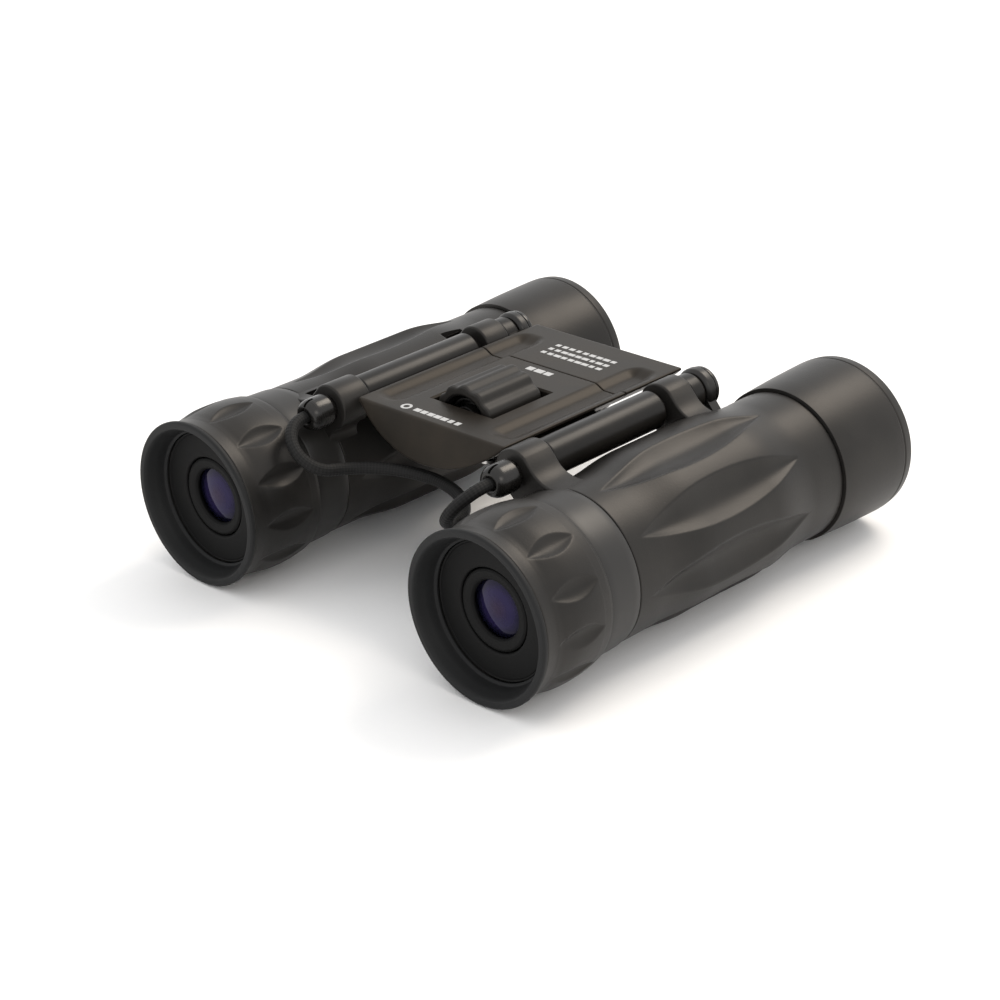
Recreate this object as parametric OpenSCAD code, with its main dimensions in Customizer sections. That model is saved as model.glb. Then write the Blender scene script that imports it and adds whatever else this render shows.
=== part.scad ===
// Compact double-hinge roof-prism binoculars, 12 x 25 class, standing open on a flat surface.
// X runs across the two barrels, Y runs from the eyepieces (-) to the objectives (+), Z is up.
// The origin is on the surface below the middle of the pair.
// The two barrels fold down and inwards about rods that run along Y. The wheel between them turns
// on a screw that slides the rear plate, and the plate slides the rods and the objective cells.

/* [Overall] */
// Length of a barrel, from eyecup lip to objective rim
body_length = 104; // [96:1:128]
// Distance between the two optical axes when fully open
barrel_spacing = 74.4; // [66:0.1:90]

/* [Eyepiece end] */
// Outer radius of the eyecup lip
rim_r = 16.5; // [16:0.1:18]
// Largest outer radius, at the crown of the scooped ring
ring_r = 16.75; // [16.4:0.05:17.4]
// Length of the rubber eyecup
cup_length = 4.5; // [4:0.1:7]
// Inner radius of the eyecup
cup_bore_r = 14; // [13.6:0.1:14.6]
// Length of the scooped ring
ring_length = 13.5; // [12:0.5:17]
// Number of scoops round the ring
scoop_count = 12; // [8:1:14]
// Length of one scoop
scoop_length = 10.5; // [8:0.5:12]
// Length of the plain band between the ring and the armour
band_length = 8; // [6:0.5:10]
// Outer radius of the plain band
band_r = 15.5; // [15.2:0.1:16]
// Radius of the sleeve that the ring turns on
ring_seat_r = 12.6; // [12:0.1:12.8]
// Outer radius of the cell that holds the eye lens
ocular_cell_r = 8.1; // [7.4:0.1:9]
// Radius of the eye lens
eye_lens_r = 6; // [5:0.1:6.4]
// Clear opening over the eye lens
eye_opening_r = 4.8; // [4:0.1:5]

/* [Barrel body] */
// Outer radius of the inner barrel tube
tube_r = 13.6; // [13.4:0.1:14]
// Wall of the inner barrel tube
tube_wall = 1.1; // [0.8:0.1:1.3]
// Armour radius just behind the eyepiece band
armour_near_r = 15.1; // [14.9:0.05:15.6]
// Armour radius at the swell in the middle
armour_swell_r = 16.2; // [15.6:0.05:16.3]
// Armour radius at the waist in front of the hood
armour_waist_r = 14.75; // [14.6:0.05:15.2]
// Number of long flutes round the armour
flute_count = 7; // [5:1:8]
// Length of a flute
flute_length = 43.5; // [30:0.5:46]
// Radius of the scoop that cuts a flute
flute_r = 6; // [4:0.5:8]
// Radius from the optical axis to the floor of a flute
flute_floor_r = 14.8; // [14.5:0.05:15.2]

/* [Objective end] */
// Length of the hood round the objective
hood_length = 20.2; // [18:0.1:26]
// Outer radius at the hood's rim
hood_r = 16.1; // [15.8:0.1:16.6]
// Inner radius of the hood
hood_bore_r = 14.2; // [14.1:0.1:14.6]
// Radius of the objective lens
objective_r = 12.5; // [11.5:0.1:12.6]

/* [Hinges] */
// How far each hinge lies inboard of its optical axis
hinge_inset = 13; // [12.5:0.1:15]
// How far each hinge lies above its optical axis
hinge_rise = 15.5; // [15.4:0.1:17]
// Radius of the hinge rods
rod_r = 2; // [1.6:0.1:2.4]
// Outer radius of the barrel knuckles
knuckle_r = 4.5; // [4:0.1:4.6]
// Length of the knuckle near the eyepiece
knuckle_near_length = 7; // [5:0.5:9]
// Length of the knuckle near the objective
knuckle_far_length = 6; // [4:0.5:8]
// Outer radius of the bridge's hinge sleeves
sleeve_r = 3.7; // [3.2:0.1:3.8]
// Length of the hinge sleeves
sleeve_length = 30.2; // [28:0.1:36]
// Open gap between a sleeve and its far knuckle
sleeve_gap = 1.5; // [0.4:0.1:3]
// Radius of the strap lugs
lug_r = 3.1; // [2.7:0.1:3.5]

/* [Bridge and focus] */
// Half the width of the bridge plates
bridge_half = 19; // [17:0.1:19]
// Height of the bridge top above the optical axes
bridge_top = 18; // [17.8:0.1:19]
// Thickness of the top plates
cover_thick = 1.6; // [1.2:0.1:1.8]
// Height of the frame's underside above the optical axes
frame_low = 13; // [12.9:0.1:13.6]
// Height of the belly's lowest line above the optical axes
belly_low = 10.2; // [10:0.1:11.5]
// Length of the sliding rear plate
plate_length = 15.9; // [14:0.1:20]
// Outer radius of the focus wheel
wheel_r = 7.5; // [6:0.1:7.6]
// Length of the focus wheel
wheel_length = 14; // [9:0.5:15]
// Height of the wheel's axis above the optical axes
wheel_rise = 14.7; // [14.4:0.1:15]
// Number of flutes round the focus wheel
wheel_flutes = 12; // [8:1:16]
// Radius of the lead screw
screw_r = 1.6; // [1.2:0.1:1.8]
// How far the rear plate slides out at the nearest focus
focus_travel = 2.5; // [1:0.1:3]

/* [Strap] */
// Diameter of the braided cord
cord_d = 2.4; // [1.6:0.1:2.4]

/* [Hidden] */

// Facets round a turned piece
smooth = 96;
// Radial clearance of a running fit
run_gap = 0.06;
// Gap between faces that pass each other
face_gap = 0.3;
// Extra depth of a cut past the face it opens
cut = 1;

// Height of the optical axes above the surface
axis_z = max(ring_r, rim_r);
// Places along Y, from the eyepiece end to the objective end
near_y = -body_length / 2;
ring_y = near_y + cup_length;
band_y = ring_y + ring_length;
armour_y = band_y + band_length;
rim_y = body_length / 2;
hood_y = rim_y - hood_length;
armour_end_y = hood_y - face_gap;

// Hinge line and its direction from the optical axis
axis_x = barrel_spacing / 2;
hinge_x = axis_x - hinge_inset;
hinge_z = axis_z + hinge_rise;
hinge_reach = norm([hinge_inset, hinge_rise]);
hinge_tilt = atan2(hinge_inset, hinge_rise);
arm_half = knuckle_r - 0.9;
arm_top = hinge_reach - rod_r - 0.5;

// Pieces along a hinge rod
near_knuckle_y = armour_y - 2;
sleeve_y = near_knuckle_y + knuckle_near_length + face_gap;
far_knuckle_y = sleeve_y + sleeve_length + sleeve_gap;
collar_y = far_knuckle_y + knuckle_far_length + face_gap;
collar_length = 3.5;
arm_gap = 0.15;
focus_arm_y = collar_y + collar_length + arm_gap;
focus_arm_thick = 2.3;
focus_arm_half = 2;
cap_y = focus_arm_y + focus_arm_thick + arm_gap;
cap_length = 1.2;
lug_stem = 1.8;
rod_near_y = near_knuckle_y + lug_stem + face_gap;

// Eyepiece pieces
bezel_thick = 1;
bezel_y = ring_y + 0.1;
bezel_r = ring_seat_r + 0.5;
bezel_hole_r = ocular_cell_r - 0.2;
seat_y = bezel_y + bezel_thick;
cell_front_y = bezel_y + 0.1;
ocular_length = 11;
dioptre_travel = 0.5;
boss_wall = 1.5;
stop_y = cell_front_y + ocular_length + 3;
stop_thick = 0.6;

// Barrel pieces
tube_bore = tube_r - tube_wall;
tube_end_y = hood_y + 3.2;
cage_y = armour_y + 6;
cage_length = 36;
cage_r = tube_bore - 0.1;

// Objective pieces
stem_r = tube_bore - run_gap - 0.02;
stem_bore = stem_r - 1;
stem_y = cage_y + cage_length + 3;
cell_shoulder_y = tube_end_y + 0.6;
cell_r = hood_bore_r - face_gap;
cell_end_y = cell_shoulder_y + 5.4;
lens_seat_y = cell_shoulder_y + 1.2;
lens_edge = 2.8;
lens_bulge = 0.9;
retainer_width = 0.9;
seat_gap = 0.02;
lens_y = lens_seat_y + lens_rise(stem_bore) + seat_gap;
retainer_y = lens_y + lens_edge + lens_rise(objective_r - retainer_width) + seat_gap;
cap_step = 0.6;
cap_bore_r = hood_bore_r + cap_step;
cap_seat_y = cell_end_y + focus_travel + 0.5;

// How far the objective lens's curved faces stand out from its edge, at a radius
function lens_rise(r) = lens_bulge * (1 - pow(r / objective_r, 2));

// Bridge pieces, at heights above the surface
top_z = axis_z + bridge_top;
cover_z = top_z - cover_thick;
frame_z = axis_z + frame_low;
belly_z = axis_z + belly_low;
wheel_z = axis_z + wheel_rise;
bridge_y = armour_y + 1;
seam_y = far_knuckle_y - 3;
plate_y = seam_y + 0.15;
plate_end_y = plate_y + plate_length;
apron_out = 2.7;
belly_half = 14.3;
belly_sag = frame_low - belly_low;
belly_arc_r = (belly_half * belly_half + belly_sag * belly_sag) / (2 * belly_sag);
wheel_y = bridge_y + 9;
wheel_end_y = wheel_y + wheel_length;
window_half = wheel_r + 0.7;
window_gap = 0.6;
journal_r = screw_r + 0.9;
bearing_half = 5;
bearing_thick = 2.2;
tongue_length = 7;
tongue_half = 13;
tongue_gap = 0.2;
channel_half = screw_r + 0.8;
web_end_y = seam_y - 5.5;

// The strap cord's bends below the lugs, and its way between them. X is a share of the hinges'
// distance from the middle; Y and Z are counted from the middle of the lugs.
cord_bend = 2.1 * cord_d;
cord_lean_left = 48;
cord_lean_right = 30;
cord_sag = [
    [-0.65, -0.6, -7.55], [-0.54, 2.1, -8.3], [-0.39, 4.3, -8.65], [-0.22, 5.9, -8.75],
    [-0.02, 6.8, -8.75], [0.2, 6.5, -8.75], [0.42, 5.2, -8.7], [0.6, 3, -8.7], [0.73, 0.1, -8.7]
];
cord_sides = 8;
cord_steps = 3;

// ---------- shared shapes ----------

// Turns an outline of [radius, y] points about the Y axis
module turned(outline) {
    rotate([-90, 0, 0])
        rotate_extrude($fn = smooth)
            polygon(outline);
}

// A plain ring or disc about the Y axis
module ring(y, length, outer, inner = 0) {
    turned([[inner, y], [outer, y], [outer, y + length], [inner, y + length]]);
}

// Places children of one side: shapes are written for the right side and mirrored for the left
module sided(side) {
    if (side < 0)
        mirror([1, 0, 0]) children();
    else
        children();
}

module on_axis() {
    translate([axis_x, 0, axis_z]) children();
}

// Z points from the optical axis to the hinge
module towards_hinge() {
    on_axis() rotate([0, -hinge_tilt, 0]) children();
}

module on_hinge() {
    translate([hinge_x, 0, hinge_z]) children();
}

module block(low, high) {
    translate(low) cube(high - low);
}

function ease(t) = (1 - cos(180 * t)) / 2;

// ---------- barrel ----------

swell_near_y = armour_y + 20;
waist_near_y = armour_y + 7;
waist_far_y = armour_end_y - 7.5;
swell_far_y = waist_far_y - 13;
curve_steps = 5;

armour_outline = concat(
    [[tube_r, armour_y], [armour_near_r - 0.2, armour_y], [armour_near_r, armour_y + 0.4]],
    [for (i = [0 : curve_steps]) let (t = i / curve_steps)
        [armour_near_r + (armour_swell_r - armour_near_r) * ease(t),
         waist_near_y + (swell_near_y - waist_near_y) * t]],
    [for (i = [0 : curve_steps]) let (t = i / curve_steps)
        [armour_swell_r + (armour_waist_r - armour_swell_r) * ease(t),
         swell_far_y + (waist_far_y - swell_far_y) * t]],
    [[armour_waist_r, armour_end_y - 0.3], [armour_waist_r - 0.3, armour_end_y],
     [tube_r, armour_end_y]]
);

// Solid arms and eyes of the two knuckles, without their bore. The near one reaches out over the band.
module knuckle_blanks() {
    overhang = armour_y - near_knuckle_y;
    for (k = [[near_knuckle_y, knuckle_near_length, overhang],
              [far_knuckle_y, knuckle_far_length, 0]]) {
        towards_hinge() {
            block([-arm_half, k[0] + k[2], tube_r - 0.6], [arm_half, k[0] + k[1], arm_top]);
            block([-arm_half, k[0], band_r + 0.2], [arm_half, k[0] + k[1], arm_top]);
            translate([0, 0, hinge_reach]) ring(k[0], k[1], knuckle_r);
        }
    }
}

// Space that the focus arm passes through, on its whole travel
module arm_slot(inner, outer) {
    towards_hinge()
        block([-focus_arm_half - face_gap, focus_arm_y - face_gap, inner],
              [focus_arm_half + face_gap, focus_arm_y + focus_arm_thick + focus_travel + face_gap,
               outer]);
}

module barrel_tube(side) color("dimgray") sided(side) difference() {
    union() {
        on_axis() ring(armour_y, tube_end_y - armour_y, tube_r, tube_bore);
        knuckle_blanks();
    }
    on_axis() ring(armour_y - cut, tube_end_y - armour_y + 2 * cut, tube_bore);
    on_hinge() ring(near_knuckle_y - cut, body_length / 2, rod_r + run_gap);
    arm_slot(tube_bore - cut, tube_r + cut);
}

flute_first_deg = 52;
flute_step_deg = (360 - 2 * flute_first_deg) / (flute_count - 1);
flute_y = armour_y + 3.5;
flute_taper = 9;
flute_axis_r = flute_floor_r + flute_r;
flute_tip_r = flute_axis_r - armour_near_r;

module flutes() {
    for (i = [0 : flute_count - 1])
        on_axis()
            rotate([0, -hinge_tilt + flute_first_deg + i * flute_step_deg, 0])
                translate([0, 0, flute_axis_r])
                    turned([[0, flute_y], [flute_tip_r, flute_y],
                            [flute_r, flute_y + flute_taper],
                            [flute_r, flute_y + flute_length - flute_taper],
                            [flute_tip_r, flute_y + flute_length],
                            [0, flute_y + flute_length]]);
}

// Two moulded slots beside the knuckles, on the left barrel only
module moulded_slots() {
    slot_turn = 24.5;
    for (s = [[armour_y + 0.8, 6.4], [far_knuckle_y + 1, 5.4]])
        towards_hinge() rotate([0, slot_turn, 0])
            block([-1.5, s[0], tube_r - cut], [1.5, s[0] + s[1], armour_swell_r + cut]);
}

module armour(side) color([0.16, 0.155, 0.15]) sided(side) difference() {
    on_axis() turned(armour_outline);
    flutes();
    knuckle_blanks();
    arm_slot(tube_r - cut, armour_swell_r + cut);
    if (side < 0) moulded_slots();
}

module objective_hood(side) color([0.17, 0.165, 0.16]) sided(side) on_axis() turned([
    [tube_r, hood_y], [hood_r - 0.8, hood_y], [hood_r - 0.6, hood_y + 0.3],
    [hood_r - 0.3, hood_y + 7], [hood_r - 0.1, rim_y - 4], [hood_r, rim_y - 1.2],
    [hood_r - 0.5, rim_y], [cap_bore_r, rim_y], [cap_bore_r, cap_seat_y],
    [hood_bore_r, cap_seat_y], [hood_bore_r, tube_end_y], [tube_r, tube_end_y]
]);

module eyepiece_tube(side) color([0.15, 0.145, 0.14]) sided(side) on_axis() turned([
    [ocular_cell_r + run_gap, seat_y], [ring_seat_r, seat_y], [ring_seat_r, band_y],
    [band_r, band_y], [band_r - 0.1, armour_y - 1.2], [band_r - 0.5, armour_y],
    [tube_bore, armour_y], [tube_bore, cage_y - 1], [tube_bore - 1.2, cage_y - 1],
    [tube_bore - 1.2, seat_y + 2], [ocular_cell_r + boss_wall, seat_y + 2],
    [ocular_cell_r + boss_wall, stop_y + 2], [ocular_cell_r + run_gap, stop_y + 2]
]);

module scoops() {
    mid_y = ring_y + ring_length / 2 - 1.4;
    scoop_r = 5;
    depth = 0.75;
    tip_r = scoop_r - depth;
    for (i = [0 : scoop_count - 1])
        on_axis() rotate([0, 5 + i * 360 / scoop_count, 0])
            translate([0, 0, ring_r - 0.05 + scoop_r - depth])
                turned([[0, mid_y - scoop_length / 2], [tip_r, mid_y - scoop_length / 2],
                        [scoop_r, mid_y - 1.5], [scoop_r, mid_y + 1.5],
                        [tip_r, mid_y + scoop_length / 2], [0, mid_y + scoop_length / 2]]);
}

// The scoops stand the same way round on both sides, so the ring isn't mirrored
module eyepiece_ring(side) color([0.17, 0.165, 0.16])
    translate([side < 0 ? -barrel_spacing : 0, 0, 0]) difference() {
    on_axis() turned([
        [bezel_r + 0.3, ring_y], [ring_r - 0.9, ring_y], [ring_r - 0.6, ring_y + 1.2],
        [ring_r - 0.1, ring_y + 3.2], [ring_r, ring_y + 5.5], [ring_r, ring_y + 8],
        [ring_r - 0.25, ring_y + 11], [ring_r - 0.6, band_y - face_gap],
        [ring_seat_r + run_gap, band_y - face_gap], [ring_seat_r + run_gap, seat_y + 0.2],
        [bezel_r + 0.3, seat_y + 0.2]
    ]);
    scoops();
}

module eyecup(side) color([0.13, 0.125, 0.12]) sided(side) on_axis() turned([
    [cup_bore_r, near_y], [rim_r - 0.5, near_y], [rim_r, near_y + 0.6], [rim_r, near_y + 1.7],
    [rim_r - 0.7, near_y + 2.9], [ring_r - 0.9, ring_y], [bezel_r + 0.3, ring_y],
    [cup_bore_r, ring_y - 0.4]
]);

module bezel(side) color([0.05, 0.05, 0.05]) sided(side)
    on_axis() ring(bezel_y, bezel_thick, bezel_r, bezel_hole_r + 0.3);

module ocular_cell(side) color([0.04, 0.04, 0.045]) sided(side) on_axis() turned([
    [eye_opening_r, cell_front_y], [bezel_hole_r, cell_front_y],
    [bezel_hole_r, seat_y + dioptre_travel + 0.2], [ocular_cell_r, seat_y + dioptre_travel + 0.2],
    [ocular_cell_r, cell_front_y + ocular_length], [eye_lens_r + 0.05, cell_front_y + ocular_length],
    [eye_lens_r + 0.05, cell_front_y + 0.8], [eye_opening_r, cell_front_y + 0.8]
]);

// A round lens between two curved faces, which swell from its edge towards the middle
lens_steps = 6;
module lens(y, edge, radius, bulge) {
    turned(concat(
        [for (i = [0 : lens_steps]) let (t = i / lens_steps)
            [radius * t, y - bulge * (1 - t * t)]],
        [for (i = [0 : lens_steps]) let (t = 1 - i / lens_steps)
            [radius * t, y + edge + bulge * (1 - t * t)]]
    ));
}

module eye_lens(side) color([0.45, 0.4, 0.75]) sided(side)
    on_axis() lens(cell_front_y + 1.6, 2, eye_lens_r, 0.75);

module field_lens(side) color([0.5, 0.6, 0.75]) sided(side)
    on_axis() lens(cell_front_y + 7, 2, eye_lens_r, 0.9);

module field_stop(side) color([0.05, 0.05, 0.05]) sided(side)
    on_axis() ring(stop_y, stop_thick, ocular_cell_r + run_gap, eye_opening_r + 0.6);

// ---------- prisms ----------

pocket_half = 7.2;
pocket_low = -7;
pocket_high = 9.5;
prism_half = 6.8;
prism_mid_y = cage_y + cage_length / 2 + 0.5;

module prism_cage(side) color([0.2, 0.2, 0.2]) sided(side) on_axis() difference() {
    ring(cage_y, cage_length, cage_r);
    block([-pocket_half, cage_y + 2, pocket_low],
          [pocket_half, cage_y + cage_length - 2, pocket_high]);
    ring(cage_y - cut, cage_length + 2 * cut, 6.2);
}

// Extrudes a side view of [y, z] points across the barrel
module across(outline) {
    translate([-prism_half, prism_mid_y, 0])
        rotate([90, 0, 90])
            linear_extrude(height = 2 * prism_half) polygon(outline);
}

module roof_prism(side) color([0.75, 0.85, 0.9]) sided(side) on_axis() intersection() {
    across([[-15, -7], [-4.2, -7], [-2.6, -4.5], [10, 8.1], [9, 8.6], [-12, 8.6], [-15, 7]]);
    translate([0, prism_mid_y + 12, 0]) rotate([90, 0, 0])
        linear_extrude(height = 28)
            polygon([[-8, -8], [8, -8], [8, 1.2], [0.4, 8.8], [-0.4, 8.8], [-8, 1.2]]);
}

module half_prism(side) color([0.75, 0.85, 0.9]) sided(side) on_axis()
    across([[13.6, -7], [13.6, 7], [11, 8.4], [-1.4, -4], [-0.2, -7]]);

module prism_clip(side) color("silver") sided(side) on_axis()
    block([-4, prism_mid_y - 11, pocket_high - 0.6], [4, prism_mid_y + 7, pocket_high]);

// ---------- objective ----------

module objective_cell(side) color([0.1, 0.1, 0.1]) sided(side) difference() {
    on_axis() turned([
        [stem_bore, stem_y], [stem_r, stem_y], [stem_r, cell_shoulder_y],
        [cell_r, cell_shoulder_y], [cell_r, cell_end_y - 0.4], [cell_r - 0.4, cell_end_y],
        [objective_r + 0.05, cell_end_y], [objective_r + 0.05, lens_seat_y],
        [stem_bore, lens_seat_y]
    ]);
    towards_hinge()
        block([-focus_arm_half, focus_arm_y, stem_bore - cut],
              [focus_arm_half, focus_arm_y + focus_arm_thick, stem_r + cut]);
}

module objective_lens(side) color([0.35, 0.5, 0.55]) sided(side)
    on_axis() lens(lens_y, lens_edge, objective_r, lens_bulge);

module retaining_ring(side) color([0.06, 0.06, 0.06]) sided(side)
    on_axis() ring(retainer_y, 0.9, objective_r + 0.05, objective_r - retainer_width);

module focus_arm(side) color("gray") sided(side) difference() {
    union() {
        on_hinge() ring(focus_arm_y, focus_arm_thick, knuckle_r - 0.3);
        towards_hinge()
            block([-focus_arm_half, focus_arm_y, stem_bore + 0.02],
                  [focus_arm_half, focus_arm_y + focus_arm_thick, arm_top]);
    }
    on_hinge() ring(focus_arm_y - cut, focus_arm_thick + 2 * cut, rod_r + run_gap);
}

// ---------- strap lugs and cord ----------

lug_mid_y = near_knuckle_y - 3.3;

module strap_lug(side) color([0.1, 0.1, 0.11]) sided(side) on_hinge() difference() {
    union() {
        ring(near_knuckle_y, lug_stem, rod_r + run_gap);
        ring(near_knuckle_y - 0.5, 0.5, lug_r - 0.6);
        ring(lug_mid_y, near_knuckle_y - 0.5 - lug_mid_y, lug_r);
        translate([0, lug_mid_y, 0]) sphere(r = lug_r, $fn = smooth);
    }
    ring(lug_mid_y - lug_r - cut, lug_r + cut + 1.4, cord_d / 2 + 0.05);
}

function spline(p, q, r, s, t) =
    0.5 * (2 * q + (r - p) * t + (2 * p - 5 * q + 4 * r - s) * t * t
           + (3 * q - p - 3 * r + s) * t * t * t);

// Places round the half turn below one lug, from its mouth
function cord_loop(side, lean) = [for (a = [0 : 30 : 180])
    let (out = cord_bend * (1 - cos(a)))
    [side * (hinge_x - out * sin(lean)), lug_mid_y - lug_r - 0.4 - cord_bend * sin(a),
     hinge_z - out * cos(lean)]];

function reversed(list) = [for (i = [len(list) - 1 : -1 : 0]) list[i]];

cord_route = concat(
    [[-hinge_x, lug_mid_y, hinge_z]], cord_loop(-1, cord_lean_left),
    [for (p = cord_sag) [p.x * hinge_x, lug_mid_y + p.y, hinge_z + p.z]],
    reversed(cord_loop(1, cord_lean_right)), [[hinge_x, lug_mid_y, hinge_z]]
);
cord_last = len(cord_route) - 1;
cord_line = concat(
    [for (i = [0 : cord_last - 1], k = [0 : cord_steps - 1])
        spline(cord_route[max(i - 1, 0)], cord_route[i], cord_route[i + 1],
               cord_route[min(i + 2, cord_last)], k / cord_steps)],
    [cord_route[cord_last]]
);
cord_count = len(cord_line);

function unit(v) = v / norm(v);

function cord_heading(i) =
    unit(cord_line[min(i + 1, cord_count - 1)] - cord_line[max(i - 1, 0)]);

// One ring of points round the cord at place i
function cord_ring(i) =
    let (d = cord_heading(i), a = unit(cross(d, [0, 0, 1])), b = cross(a, d))
    [for (k = [0 : cord_sides - 1])
        let (w = 360 * k / cord_sides)
        cord_line[i] + cord_d / 2 * (a * cos(w) + b * sin(w))];

module strap_cord() color([0.05, 0.05, 0.05]) {
    last = (cord_count - 1) * cord_sides;
    polyhedron(
        points = [for (i = [0 : cord_count - 1]) each cord_ring(i)],
        faces = concat(
            [[for (k = [cord_sides - 1 : -1 : 0]) k]],
            [for (i = [0 : cord_count - 2], k = [0 : cord_sides - 1])
                let (a = i * cord_sides, n = (k + 1) % cord_sides)
                [a + k, a + n, a + cord_sides + n, a + cord_sides + k]],
            [[for (k = [0 : cord_sides - 1]) last + k]]
        )
    );
}

// ---------- bridge ----------

// Everything behind the sloping front face of the apron
module behind_apron() {
    slope = atan2(apron_out, bridge_top - belly_low);
    depth = 80;
    translate([0, bridge_y, top_z]) rotate([slope, 0, 0])
        block([-40, 0, -30], [40, depth, 10]);
}

// Long shallow trough with round ends, sunk in the bridge's top
trough_x = 15.2;
trough_r = 3;
trough_depth = 0.7;
module trough(y, end_y) {
    for (side = [-1, 1])
        translate([side * trough_x, 0, top_z + trough_r - trough_depth]) {
            ring(y, end_y - y, trough_r);
            translate([0, y, 0]) sphere(r = trough_r, $fn = smooth);
            translate([0, end_y, 0]) sphere(r = trough_r, $fn = smooth);
        }
}

module wheel_window(low, high) {
    block([-window_half, wheel_y - window_gap, low],
          [window_half, wheel_end_y + window_gap, high]);
}

screw_x = 11.2;
screw_thick = 0.6;
screw_spots = [[screw_x, bridge_y + 4], [screw_x, seam_y - 11]];
module at_screws() {
    for (s = screw_spots, side = [-1, 1]) translate([side * s[0], s[1], 0]) children();
}

module top_cover() color([0.22, 0.205, 0.19]) difference() {
    intersection() {
        block([-bridge_half, near_y, cover_z], [bridge_half, seam_y, top_z]);
        behind_apron();
    }
    trough(bridge_y + 6, seam_y + 2 * trough_r);
    wheel_window(cover_z - cut, top_z + cut);
    translate([0, 0, wheel_z])
        ring(wheel_y - window_gap - bearing_thick - 0.5, wheel_length + 7, journal_r + face_gap);
}

module bridge_frame() color([0.14, 0.135, 0.13]) difference() {
    union() {
        block([-bridge_half, bridge_y + 0.5, frame_z], [bridge_half, seam_y, cover_z]);
        for (side = [-1, 1]) sided(side) {
            block([bridge_half - cut, sleeve_y, frame_z],
                  [hinge_x, web_end_y, cover_z]);
            on_hinge() ring(sleeve_y, sleeve_length, sleeve_r);
        }
        block([-bearing_half, wheel_y - window_gap - bearing_thick, belly_z + 1.6],
              [bearing_half, wheel_end_y + window_gap + bearing_thick, frame_z + cut]);
    }
    for (side = [-1, 1]) sided(side)
        on_hinge() ring(sleeve_y - cut, sleeve_length + 2 * cut, rod_r + run_gap);
    wheel_window(belly_z, top_z);
    translate([0, 0, wheel_z])
        ring(wheel_y - window_gap - bearing_thick - cut, wheel_length + 10, journal_r + run_gap);
    for (side = [-1, 1]) sided(side)
        block([channel_half, seam_y - tongue_length - tongue_gap, frame_z + 0.8],
              [tongue_half + face_gap, seam_y + cut, cover_z + cut]);
    block([-channel_half - 0.1, seam_y - tongue_length, belly_z], [channel_half + 0.1, seam_y + cut, cover_z + cut]);
    at_screws() cylinder(r = 1.05, h = 60, $fn = smooth);
}

module belly_cover() color([0.15, 0.145, 0.14]) difference() {
    intersection() {
        block([-belly_half, near_y, belly_z - cut], [belly_half, seam_y, frame_z]);
        translate([0, 0, belly_z + belly_arc_r]) ring(near_y, body_length, belly_arc_r);
        behind_apron();
    }
    wheel_window(belly_z - cut, frame_z + cut);
    block([-bearing_half - 0.1, wheel_y - window_gap - bearing_thick - 0.1, belly_z + 1.5],
          [bearing_half + 0.1, wheel_end_y + window_gap + bearing_thick + 0.1, frame_z + cut]);
    block([-channel_half - 0.1, wheel_end_y, belly_z + 1], [channel_half + 0.1, seam_y + cut, frame_z + cut]);
    at_screws() translate([0, 0, belly_z - cut]) cylinder(r = 1.9, h = 3.4, $fn = smooth);
    at_screws() cylinder(r = 1.05, h = 60, $fn = smooth);
}

module cover_screws() color("silver") at_screws() {
    head_z = belly_z + 2.4;
    difference() {
        union() {
            translate([0, 0, head_z - screw_thick]) cylinder(r = 1.8, h = screw_thick, $fn = smooth);
            translate([0, 0, head_z - 0.1]) cylinder(r = 1, h = cover_z - head_z, $fn = smooth);
        }
        block([-1.3, -0.2, head_z - cut - screw_thick], [1.3, 0.2, head_z - screw_thick / 2]);
        block([-0.2, -1.3, head_z - cut - screw_thick], [0.2, 1.3, head_z - screw_thick / 2]);
    }
}

// ---------- focus ----------

grip_depth = 1.7;
grip_bore = wheel_r - grip_depth;
hub_r = journal_r;
journal_length = bearing_thick + window_gap - 0.4;

module focus_wheel() color([0.12, 0.12, 0.12]) translate([0, 0, wheel_z]) turned([
    [screw_r + run_gap, wheel_y - journal_length], [hub_r, wheel_y - journal_length],
    [hub_r, wheel_y + 3.5], [grip_bore - 1.2, wheel_y + 3.5], [grip_bore - 1.2, wheel_y],
    [grip_bore, wheel_y], [grip_bore, wheel_end_y], [grip_bore - 1.2, wheel_end_y],
    [grip_bore - 1.2, wheel_end_y - 3.5], [hub_r, wheel_end_y - 3.5],
    [hub_r, wheel_end_y + journal_length], [screw_r + run_gap, wheel_end_y + journal_length]
]);

module wheel_grip() color([0.2, 0.19, 0.18]) translate([0, 0, wheel_z]) difference() {
    turned([[grip_bore, wheel_y], [wheel_r - 0.5, wheel_y], [wheel_r, wheel_y + 0.6],
            [wheel_r, wheel_end_y - 0.6], [wheel_r - 0.5, wheel_end_y], [grip_bore, wheel_end_y]]);
    for (i = [0 : wheel_flutes - 1])
        rotate([0, (i + 0.5) * 360 / wheel_flutes, 0])
            translate([0, 0, wheel_r + 1.7]) ring(wheel_y - cut, wheel_length + 2 * cut, 2.3);
}

screw_near_y = wheel_y + 1;
screw_head_y = plate_y + 4;
screw_head_thick = 1.4;
screw_head_r = screw_r + 0.9;

module lead_screw() color("silver") translate([0, 0, wheel_z]) union() {
    ring(screw_near_y, screw_head_y - screw_near_y, screw_r);
    ring(screw_head_y, screw_head_thick, screw_head_r);
}

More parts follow.
